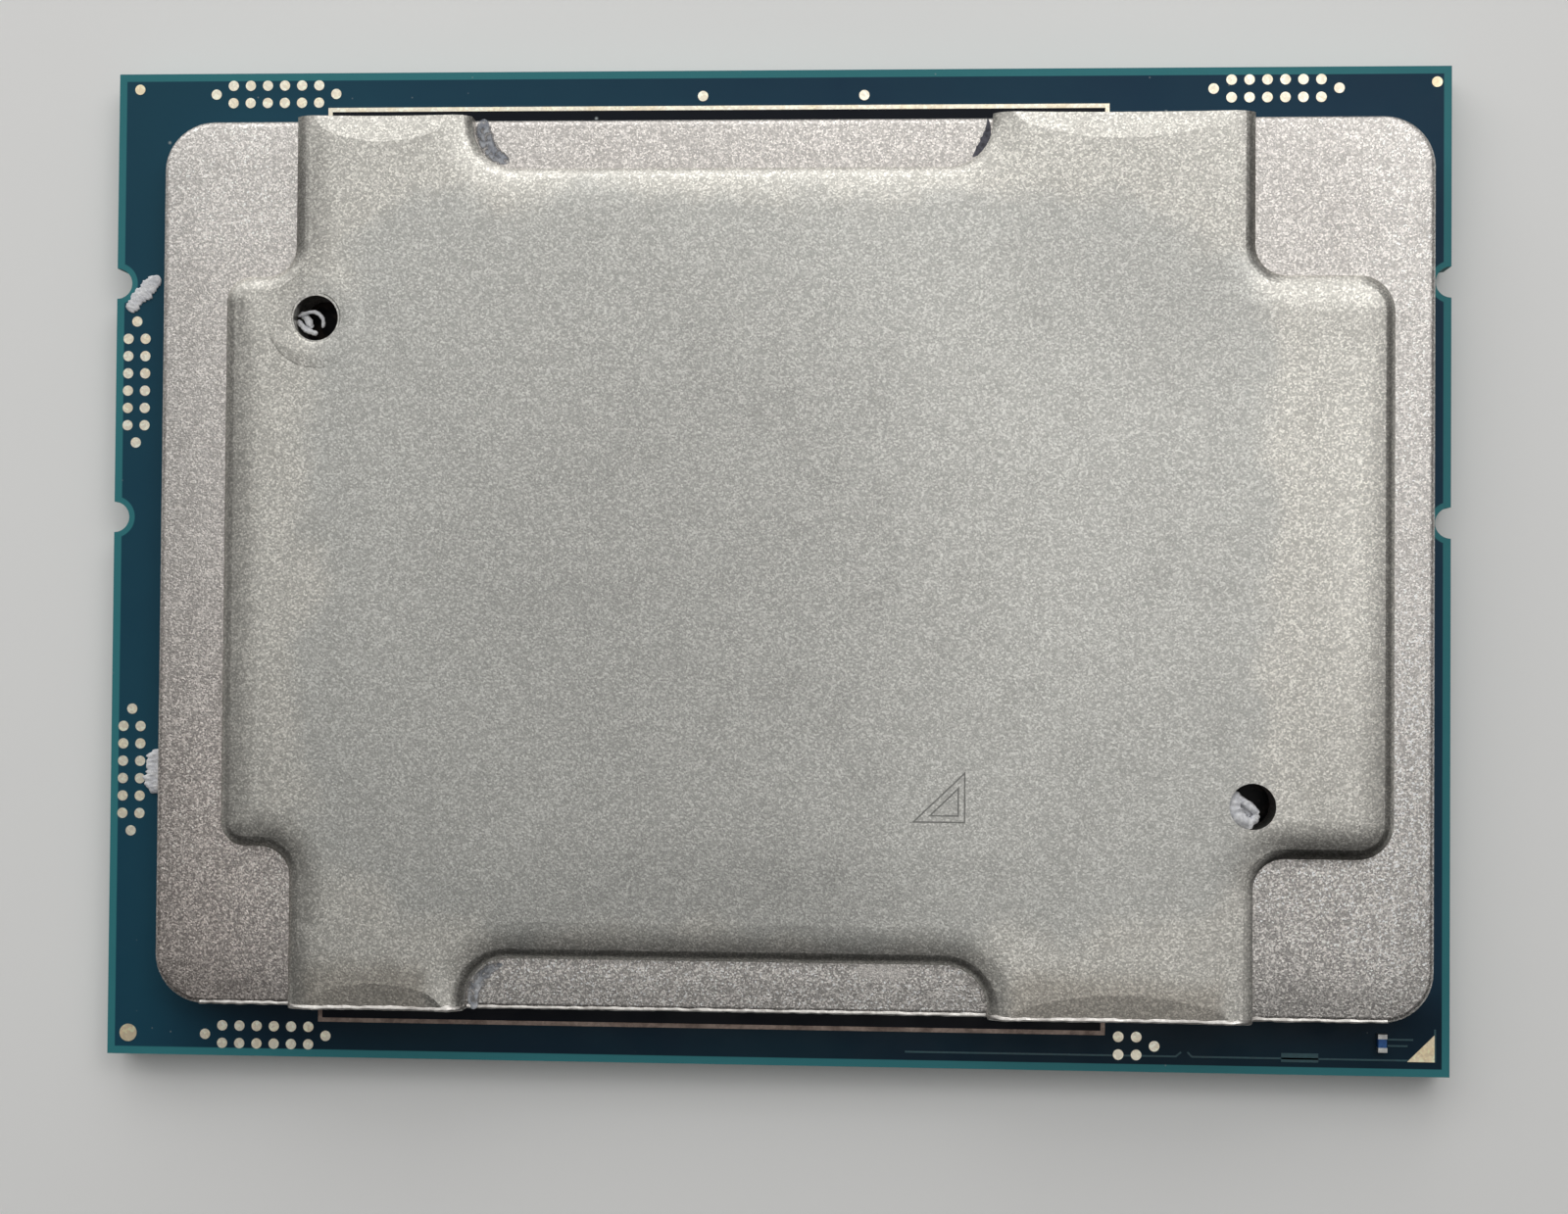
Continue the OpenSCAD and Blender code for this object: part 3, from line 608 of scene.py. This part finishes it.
# pieces: every one is a mesh at the origin that rides with the part
def addPiece(name, points, faces, material, slot, smooth=True):
    mesh = bpy.data.meshes.new(name)
    mesh.from_pydata((np.asarray(points).reshape(-1, 3) * mm).tolist(), [], faces)
    mesh.polygons.foreach_set("use_smooth", np.full(len(mesh.polygons), smooth))
    mesh.materials.append(material)
    mesh.update()
    piece = bpy.data.objects.new(name, mesh)
    bpy.context.scene.collection.objects.link(piece)
    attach(piece, "root")
    return piece


# quads between neighbouring rings of a grid, and a cap on each end where the rings don't close on themselves
def gridFaces(rows, around, closed=False):
    index = np.arange(rows * around).reshape(rows, around)
    following = np.roll(index, -1, 0)
    quads = np.stack([index, np.roll(index, -1, 1), np.roll(following, -1, 1), following], -1)
    if closed:
        return quads.reshape(-1, 4).tolist()
    caps = [index[0, ::-1].tolist(), index[-1].tolist()]
    return quads[:-1].reshape(-1, 4).tolist() + caps


lidShape = BVHTree.FromPolygons(
    [vertex.co[:] for vertex in nodes["heat_spreader"].data.vertices],
    [polygon.vertices[:] for polygon in nodes["heat_spreader"].data.polygons])


def heightOfLid(x, y):                   # top of the lid under a point, in millimetres
    found = lidShape.ray_cast(Vector((x * mm, y * mm, 1.0)), Vector((0, 0, -1)))
    return found[0].z / mm


# points of a smooth curve through a few chosen ones: a cubic between each pair, slopes from the neighbours
def smoothPath(chosen, count):
    chosen = np.asarray(chosen, float)
    tangent = np.gradient(chosen, axis=0)
    along = np.linspace(0, len(chosen) - 1, count)
    first = np.minimum(along.astype(int), len(chosen) - 2)
    t = (along - first)[:, None]
    a, b, da, db = chosen[first], chosen[first + 1], tangent[first], tangent[first + 1]
    return (a * (2 * t**3 - 3 * t**2 + 1) + da * (t**3 - 2 * t**2 + t)
            + b * (3 * t**2 - 2 * t**3) + db * (t**3 - t**2))


def headings(path):                      # across and up at each point of a path
    along = np.gradient(path, axis=0)
    along /= np.linalg.norm(along, axis=1, keepdims=True)
    across = np.cross((0, 0, 1), along)
    across /= np.linalg.norm(across, axis=1, keepdims=True)
    return across, np.cross(along, across)


# seeded noise from -1 to 1, smoothed over a few neighbours along the first axis
def ragged(draw, shape, width):
    noise = draw.uniform(-1, 1, shape)
    weight = np.hanning(width + 2)[1:-1]
    regain = 1.6                         # what the smoothing takes from the swing
    return np.apply_along_axis(lambda row: np.convolve(row, weight / weight.sum(), "same"), 0, noise) * regain


# paste: a low dome carried along a path; its sides and back wander by seeded noise, and its ends close to
# a blunt tip
pasteShape = {"tip": 0.004, "lumpGrain": 3, "round": 0.6}


def pasteBody(spec):
    draw = np.random.default_rng(spec["seed"])
    path = smoothPath(spec["path"], spec["rings"])
    across = headings(path)[0]
    u = np.linspace(0, 1, spec["rings"])
    angle = np.linspace(0, 2 * math.pi, spec["around"], endpoint=False)
    taper = np.sqrt(np.clip(1 - np.abs(2 * u - 1) ** spec["blunt"], pasteShape["tip"], 1))
    swell = np.interp(u, np.linspace(0, 1, len(spec["widths"])), spec["widths"])
    sides = 1 + np.array(spec["rag"]) * ragged(draw, (spec["rings"], 2), spec["grain"])
    half = (swell * taper)[:, None] / 2 * np.where(np.cos(angle) > 0, sides[:, :1], sides[:, 1:])
    lumps = 1 + spec["lump"] * ragged(draw, (spec["rings"], spec["around"]), pasteShape["lumpGrain"])
    dome = np.maximum(np.sin(angle), 0) ** pasteShape["round"]
    rise = spec["height"] * taper[:, None] * dome * lumps
    points = path[:, None] + across[:, None] * (half * np.cos(angle))[..., None]
    points = points + np.array((0.0, 0.0, 1.0)) * rise[..., None]
    return points, gridFaces(spec["rings"], spec["around"])


ledgeFar = lidHigh[1] / mm
ledgeSeat = ledgeFar - lid["ledgeDepth"] + lid["ledgeRadius"]     # where a ledge's end starts to curve


# points along the foot of a ledge's round end, some way in from it, between two angles in degrees
def ledgeArc(end, side, inset, start, stop, count=7):
    angle = np.radians(np.linspace(start, stop, count))
    left, right = lid["ledge"]
    radius = lid["ledgeRadius"]
    x = left + radius - (radius - inset) * np.cos(angle)
    if end == "right":
        x = right - radius + (radius - inset) * np.cos(angle)
    y = side * (ledgeSeat - (radius - inset) * np.sin(angle))
    return np.stack([x, y, np.full(count, flangeTop)], 1)


# widths and height in millimetres; blunt: how late the ends close; rag: how much either side wanders;
# grain: over how many rings; lump: how much the back wanders
pastes = {
    "pasteByNotch": {
        "path": [(-35.55, 16.55, boardTop), (-36.15, 15.85, boardTop), (-36.75, 15.2, boardTop),
                 (-37.3, 14.5, boardTop)],
        "widths": [0.55, 0.95, 0.85, 0.75], "height": 0.16, "blunt": 10, "rag": (0.28, 0.28), "grain": 4,
        "lump": 0.15, "rings": 60, "around": 28, "seed": 4},
    "pasteByRim": {
        "path": [(-35.2, -10.75, boardTop), (-35.3, -11.6, boardTop), (-35.35, -12.5, boardTop),
                 (-35.2, -13.3, boardTop)],
        "widths": [0.7, 1.3, 1.35, 0.9], "height": 0.3, "blunt": 8, "rag": (0.3, 0.3), "grain": 5,
        "lump": 0.15, "rings": 60, "around": 28, "seed": 9},
    "pasteFarLedge": {
        "path": ledgeArc("left", 1, 0.5, -14, 75),
        "widths": [0.8, 0.95, 1.0, 0.9, 0.6], "height": 0.02, "blunt": 8, "rag": (0.15, 0.05), "grain": 11,
        "lump": 0.05, "rings": 90, "around": 24, "seed": 12},
    "pasteNearLedge": {
        "path": ledgeArc("left", -1, 0.42, -14, 78),
        "widths": [0.7, 0.8, 0.85, 0.7, 0.4], "height": 0.04, "blunt": 8, "rag": (0.05, 0.3), "grain": 8,
        "lump": 0.25, "rings": 90, "around": 24, "seed": 21},
    # painted shade: a dark sheet at the foot of the far ledge's right end, where the gap torn from the
    # shoulder lies in shade
    "tornGapShade": {
        "path": ledgeArc("right", 1, 0.24, -10, 52),
        "widths": [0.12, 0.3, 0.55, 0.5, 0.12], "height": 0.012, "blunt": 8, "rag": (0.03, 0.25), "grain": 9,
        "lump": 0.05, "rings": 90, "around": 20, "seed": 33},
}


# a thin smear: two tones in clouds, torn through in places so that the metal shows
smear = {
    "rough": 0.75, "scale": 2.2, "bump": 0.006,
    "holes": {"Scale": 3.2, "Low": 0.30, "High": 0.62},
    "rimFade": (1.0, 0.55),     # from the sides inwards
}


def makeSmear(name, tint, second, cover):
    material = makeMatt(name, tint, second, smear["rough"], smear["scale"], smear["bump"])
    tree = material.node_tree
    place = next(node for node in tree.nodes if node.type == "VECT_MATH").outputs[0]
    holes = useGroup(tree, clouds, {"Vector": place, **smear["holes"]})["Mask"]
    rim = addNode(tree, "Attribute", attribute_name="rim").outputs["Fac"]
    alpha = product(tree, span(tree, holes, cover, 1.0), step(tree, rim, *smear["rimFade"]))
    feed(tree, tree.nodes["Principled BSDF"].inputs["Alpha"], alpha)
    return material


finish["smearFar"] = makeSmear("darkSmear", rgb(0.33, 0.35, 0.40), rgb(0.56, 0.58, 0.62), 0.12)
finish["smearNear"] = makeSmear("paleSmear", rgb(0.42, 0.45, 0.50), rgb(0.80, 0.81, 0.84), 0.05)
# painted shade of the torn gap at the far ledge's right end
finish["tornShade"] = makeMatt("tornGapShadeSheet", rgb(0.05, 0.05, 0.066), rgb(0.13, 0.13, 0.16), 0.7, 3.5, 0.02)
pasteLook = {"pasteFarLedge": "smearFar", "pasteNearLedge": "smearNear", "tornGapShade": "tornShade"}
for name, spec in pastes.items():
    look = pasteLook.get(name, "paste")
    piece = addPiece(name, *pasteBody(spec), finish[look], "nickel" if name == "tornGapShade" else "paste")
    across = np.abs(np.cos(np.linspace(0, 2 * math.pi, spec["around"], endpoint=False)))
    rim = piece.data.attributes.new("rim", "FLOAT", "POINT")    # 0 on the middle line, 1 at the sides
    rim.data.foreach_set("value", np.tile(across, spec["rings"]))
print("paste laid:", len(pastes))


# residue in the vents: a round strand carried along a loose loop, thinner towards its ends
strands = {
    "leftVentStrand": {
        "vent": "leftVent", "radius": 0.1,
        "loop": [(-1.2, 0.2, -0.75), (-0.75, 0.36, -0.7), (-0.25, 0.42, -0.68), (0.12, 0.2, -0.7),
                 (0.26, -0.12, -0.75), (0.2, -0.45, -0.8)]},
    "leftVentSmear": {
        "vent": "leftVent", "radius": 0.15,
        "loop": [(-1.2, 0.0, -0.8), (-1.0, -0.3, -0.8), (-0.7, -0.58, -0.8), (-0.4, -0.68, -0.85),
                 (-0.1, -0.76, -0.9)]},
    "leftVentFilm": {
        "vent": "leftVent", "radius": 0.2,
        "loop": [(-1.1, 0.45, -1.0), (-0.75, 0.1, -1.0), (-0.62, -0.2, -1.0), (-0.5, -0.45, -1.1)]},
    "rightVentLump": {
        "vent": "rightVent", "radius": 0.4,
        "loop": [(-0.75, 0.75, -0.75), (-0.95, 0.35, -0.55), (-0.95, -0.2, -0.5), (-0.75, -0.6, -0.5),
                 (-0.35, -0.9, -0.55), (0.05, -0.95, -0.7)]},
    "rightVentRidge": {
        "vent": "rightVent", "radius": 0.2,
        "loop": [(-0.85, 0.45, -0.5), (-0.5, 0.3, -0.42), (-0.15, 0.02, -0.45), (0.15, -0.22, -0.5),
                 (0.38, -0.4, -0.6)]},
    "rightVentLobe": {
        "vent": "rightVent", "radius": 0.22,
        "loop": [(0.36, -0.42, -0.62), (0.22, -0.6, -0.6), (0.05, -0.78, -0.55), (-0.25, -0.85, -0.5)]},
    "rightVentFill": {
        "vent": "rightVent", "radius": 0.3,
        "loop": [(-0.7, 0.5, -1.0), (-0.45, 0.05, -0.95), (-0.25, -0.3, -0.95), (-0.05, -0.6, -1.0)]},
}
strandShape = {"rings": 80, "around": 14, "lump": 0.4, "smooth": 11, "blunt": 8, "tip": 0.01, "seed": 17}


def strandBody(spec):
    draw = np.random.default_rng(strandShape["seed"])
    centre = (*lid[spec["vent"]], lidTop)
    path = smoothPath(np.array(spec["loop"]) + centre, strandShape["rings"])
    across, up = headings(path)
    u = np.linspace(0, 1, strandShape["rings"])
    angle = np.linspace(0, 2 * math.pi, strandShape["around"], endpoint=False)
    taper = np.sqrt(np.clip(1 - (2 * u - 1) ** strandShape["blunt"], strandShape["tip"], 1))
    lumps = ragged(draw, (strandShape["rings"], strandShape["around"]), strandShape["smooth"])
    lumps = 1 + strandShape["lump"] * lumps
    radius = (spec["radius"] * taper)[:, None] * lumps
    points = path[:, None] + across[:, None] * (radius * np.cos(angle))[..., None]
    points = points + up[:, None] * (radius * np.sin(angle))[..., None]
    return points, gridFaces(strandShape["rings"], strandShape["around"])


for name, spec in strands.items():
    addPiece(name, *strandBody(spec), finish["paste"], "paste")
print("vent residue laid:", len(strands))


# bulge round the left vent: a ring turned about the vent that follows the lid under it, raised by a low swell
# that fades outwards and towards the far side
boss = {
    "vent": "leftVent", "around": 96, "farShare": 0.3,
    "swell": [                  # distance from the vent's axis, and rise
        (1.27, -0.006), (1.45, 0.01), (1.7, 0.026), (2.0, 0.036), (2.3, 0.036), (2.5, 0.02),
        (2.7, 0.003), (2.95, -0.004), (3.0, -0.06)],
}


def bossBody(spec):
    angle = np.linspace(0, 2 * math.pi, spec["around"], endpoint=False)
    reach, swell = np.array(spec["swell"]).T
    x = lid[spec["vent"]][0] + reach * np.cos(angle)[:, None]
    y = lid[spec["vent"]][1] + reach * np.sin(angle)[:, None]
    base = np.vectorize(heightOfLid)(x, y)
    share = spec["farShare"] + (1 - spec["farShare"]) * (1 - np.sin(angle)) / 2
    rise = np.where(swell > 0, swell * share[:, None], swell)
    return np.stack([x, y, base + rise], 2), gridFaces(spec["around"], len(reach), closed=True)


addPiece("leftVentBoss", *bossBody(boss), finish["nickel"], "nickel")


# sheared burr along the lid's near edge: a small wedge, upright outside and sloping inwards, as high as the
# lid is there; its height and width wander by seeded noise and swell at a few nicks
burr = {
    "from": -32.0, "to": 34.2, "inset": 0.05, "rings": 900, "seed": 6,
    "profile": [(0.2, -0.25), (0.24, -0.03), (0.15, 0.035), (0.06, 0.07), (0.0, 0.085), (-0.04, 0.04),
                (-0.04, -0.25)],
    "nicks": (-17.5, 12.7, 27.0), "nickWidth": 0.35, "nickSwell": 0.5,
    "probe": 0.1,               # how far inside the edge the lid's height is taken
    "rag": {"out": 0.03, "up": 0.015, "size": 0.35}, "grain": 9,
}


def burrBody(spec):
    draw = np.random.default_rng(spec["seed"])
    x = np.linspace(spec["from"], spec["to"], spec["rings"])
    y = lidLow[1] / mm + spec["inset"]
    z = np.array([heightOfLid(a, y + spec["probe"]) for a in x])
    wander = ragged(draw, (spec["rings"], 3), spec["grain"])
    nick = np.exp(-((x[:, None] - np.array(spec["nicks"])) / spec["nickWidth"]) ** 2).sum(1)
    rag = spec["rag"]
    size = 1 + rag["size"] * wander[:, 2] + spec["nickSwell"] * nick
    profile = np.array(spec["profile"])
    out = y + rag["out"] * wander[:, :1] + profile[:, 0] * size[:, None]
    up = z[:, None] + rag["up"] * wander[:, 1:2] + profile[:, 1] * size[:, None]
    points = np.stack([np.broadcast_to(x[:, None], out.shape), out, up], 2)
    return points, gridFaces(spec["rings"], len(profile))


finish["sheared"] = makePlate("shearedNickel", rgb(0.58, 0.56, 0.53), rgb(0.38, 0.36, 0.34), 0.3, 5.0, 0.01)
addPiece("nearBurr", *burrBody(burr), finish["sheared"], "nickel")
print("burr laid")


# bands: a flat strip carried along straight lines with mitred corners, lying on a face and let into it
bandSink = 0.01


def bandBody(corners, width, face, rise, closed):
    corners = np.asarray(corners, float)
    leaving = np.roll(corners, -1, 0) - corners
    leaving /= np.linalg.norm(leaving, axis=1, keepdims=True)
    coming = np.roll(leaving, 1, 0)
    if not closed:
        coming[0] = leaving[0]
        leaving[-1] = coming[-1]
    left = np.stack([-leaving[:, 1], leaving[:, 0]], 1)
    before = np.stack([-coming[:, 1], coming[:, 0]], 1)
    mitre = (left + before) / (1 + (left * before).sum(1, keepdims=True)) * width / 2
    outline = np.stack([corners + mitre, corners + mitre, corners - mitre, corners - mitre], 1)
    bottom, top = face - bandSink, face + rise
    heights = np.broadcast_to(np.array([bottom, top, top, bottom])[:, None], (len(corners), 4, 1))
    return np.concatenate([outline, heights], 2), gridFaces(len(corners), 4, closed)


# pin one mark on the lid's top: two triangles, one inside the other
pinMark = {
    "outer": [(8.15, -14.15), (10.95, -14.15), (10.95, -11.45)],
    "inner": [(9.05, -13.8), (10.6, -13.8), (10.6, -12.3)],
    "width": 0.09,
    "rise": 0.003,
}
finish["laser"] = makePlate("laserMark", rgb(0.28, 0.28, 0.265), rgb(0.34, 0.34, 0.325), 0.6, 9.0, 0.004)
for name in ("outer", "inner"):
    body = bandBody(pinMark[name], pinMark["width"], lidTop, pinMark["rise"], True)
    addPiece("pinMark." + name, *body, finish["laser"], "nickel", smooth=False)

# tracks and a bare patch under the mask along the board's near edge
tracks = {
    "nearTrackLeft": {"line": [(7.77, -27.35), (22.9, -27.35), (23.2, -27.1)], "width": 0.1},
    "nearTrackRight": {"line": [(23.55, -27.1), (23.8, -27.35), (37.2, -27.35), (37.2, -25.6)], "width": 0.1},
    "chipTrackUpper": {"line": [(34.6, -26.2), (36.0, -26.2)], "width": 0.1},
    "chipTrackLower": {"line": [(34.6, -26.55), (35.7, -26.55)], "width": 0.1},
    "nearPatch": {"line": [(28.74, -27.3), (30.79, -27.3)], "width": 0.5},
}
trackRise = 0.012
finish["track"] = makeMatt("maskedTrack", rgb(0.014, 0.068, 0.088), rgb(0.021, 0.088, 0.108), 0.3, 1.5, 0.003)
for name, spec in tracks.items():
    body = bandBody(spec["line"], spec["width"], boardTop, trackRise, False)
    addPiece(name, *body, finish["track"], "board_mask", smooth=False)
print("marks and tracks laid")


# lands under the board: flat round discs on a staggered grid, left out over the capacitors and between the
# halves
lands = {
    "pitchX": 0.9906, "pitchY": 0.8585, "reach": (35.7, 25.9), "cavity": (15.0, 9.6),
    "split": 0.5, "radius": 0.29, "sides": 10, "thickness": 0.03, "rows": 40,     # rows each way
}


def landBody(side):
    rows = np.arange(-lands["rows"], lands["rows"] + 1)
    row, column = np.meshgrid(rows, rows, indexing="ij")
    x = (column + 0.5 * (row % 2)) * lands["pitchX"]
    y = row * lands["pitchY"]
    keep = (np.abs(x) < lands["reach"][0]) & (np.abs(y) < lands["reach"][1])
    keep &= (np.abs(x) > lands["cavity"][0]) | (np.abs(y) > lands["cavity"][1])
    keep &= x * side > lands["split"]
    centre = np.stack([x[keep], y[keep]], 1)
    angle = np.linspace(0, 2 * math.pi, lands["sides"], endpoint=False)
    circle = lands["radius"] * np.stack([np.cos(angle), np.sin(angle)], 1)
    plan = centre[:, None] + circle
    bottom = boardLow[2] / mm
    rings = [np.concatenate([plan, np.full((*plan.shape[:2], 1), z)], 2)
             for z in (bottom, bottom - lands["thickness"])]
    points = np.stack(rings, 1)          # land, upper or lower ring, corner
    index = np.arange(points.size // 3).reshape(points.shape[:3])
    upper, lower = index[:, 0], index[:, 1]
    walls = np.stack([upper, lower, np.roll(lower, -1, 1), np.roll(upper, -1, 1)], -1).reshape(-1, 4)
    faces = walls.tolist() + lower[:, ::-1].tolist() + upper.tolist()
    return points, faces, len(centre)


for name, side in (("landsLeft", -1), ("landsRight", 1)):
    points, faces, count = landBody(side)
    addPiece(name, points, faces, finish["gold"], "gold", smooth=False)
    print(name, count)


# floor and light: a pale sheet under a dome of soft panels, one overhead and the rest on level rings; a panel
# is brighter the nearer it stands to the three glows: dim + the sum of bright * exp(tight * (cosine - 1))
stage = {
    "floorSize": 0.9,
    "floorGrid": 17,
    "floorTint": rgb(0.92, 0.92, 0.91),
    "floorShade": rgb(0.7, 0.7, 0.7),
    "floorShadeShare": 0.06,
    "floorClouds": {"Scale": 0.02, "Low": 0.2, "High": 0.8},
    "floorRough": 0.75,
    "domeRadius": 0.55,
    "rings": (72, 52, 32, 11),  # elevations in degrees
    "panels": 8,                # on each ring
    "panelRise": 20,            # height of a panel in degrees
    "glows": (
        {"azimuth": 106, "elevation": 26, "tight": 4.4, "bright": 2.28},
        {"azimuth": 45, "elevation": 52, "tight": 60.0, "bright": 2.25},
        {"azimuth": 6, "elevation": 80, "tight": 11.0, "bright": 0.75},
    ),
    "dim": 0.012,
    "tint": (1.0, 0.995, 0.985),
}


def makeFloor():
    material, tree, shader, place = newMaterial("paleFloor")
    cloud = useGroup(tree, clouds, {"Vector": place, **stage["floorClouds"]})["Mask"]
    cloud = product(tree, cloud, stage["floorShadeShare"])
    feed(tree, shader.inputs["Base Color"], mixColor(tree, cloud, stage["floorTint"], stage["floorShade"]))
    shader.inputs["Roughness"].default_value = stage["floorRough"]
    count = stage["floorGrid"]
    side = np.linspace(-0.5, 0.5, count) * stage["floorSize"]
    x, y = np.meshgrid(side, side, indexing="ij")
    points = np.stack([x, y, np.zeros_like(x)], -1).reshape(-1, 3)
    index = np.arange(count * count).reshape(count, count)
    faces = np.stack([index[:-1, :-1], index[1:, :-1], index[1:, 1:], index[:-1, 1:]], -1).reshape(-1, 4)
    mesh = bpy.data.meshes.new("floor")
    mesh.from_pydata(points.tolist(), [], faces.tolist())
    mesh.materials.append(material)
    floor = bpy.data.objects.new("floor", mesh)
    bpy.context.scene.collection.objects.link(floor)


def pointing(azimuth, elevation):        # unit vector from two angles in degrees
    a, e = math.radians(azimuth), math.radians(elevation)
    return Vector((math.cos(e) * math.cos(a), math.cos(e) * math.sin(a), math.sin(e)))


def makePanel(azimuth, elevation, width, height):
    away = pointing(azimuth, elevation)
    radiance = stage["dim"]
    for glow in stage["glows"]:
        cosine = away.dot(pointing(glow["azimuth"], glow["elevation"]))
        radiance += glow["bright"] * math.exp(glow["tight"] * (cosine - 1))
    data = bpy.data.lights.new("panel", "AREA")
    data.shape = "RECTANGLE"
    data.size = width
    data.size_y = height
    data.energy = math.pi * width * height * radiance
    data.color = stage["tint"]
    level = pointing(azimuth + 90, 0)
    turn = Matrix((level, away.cross(level), away)).transposed()
    lamp = bpy.data.objects.new("panel", data)
    lamp.matrix_world = Matrix.Translation(away * stage["domeRadius"]) @ turn.to_4x4()
    bpy.context.scene.collection.objects.link(lamp)


def makeDome():
    radius = stage["domeRadius"]
    height = 2 * radius * math.tan(math.radians(stage["panelRise"] / 2))
    makePanel(0, 90, height, height)
    for elevation in stage["rings"]:
        width = 2 * math.pi * radius * math.cos(math.radians(elevation)) / stage["panels"]
        for azimuth in np.arange(stage["panels"]) * 360 / stage["panels"]:
            makePanel(azimuth, elevation, width, height)


def makeSurround():
    world = bpy.data.worlds.new("surround")
    world.use_nodes = True
    world.node_tree.nodes["Background"].inputs["Color"].default_value = rgb(0.0, 0.0, 0.0)
    bpy.context.scene.world = world


makeFloor()
makeDome()
makeSurround()
makeCamera()
bpy.context.scene.view_settings.view_transform = "Standard"
print("stage set")
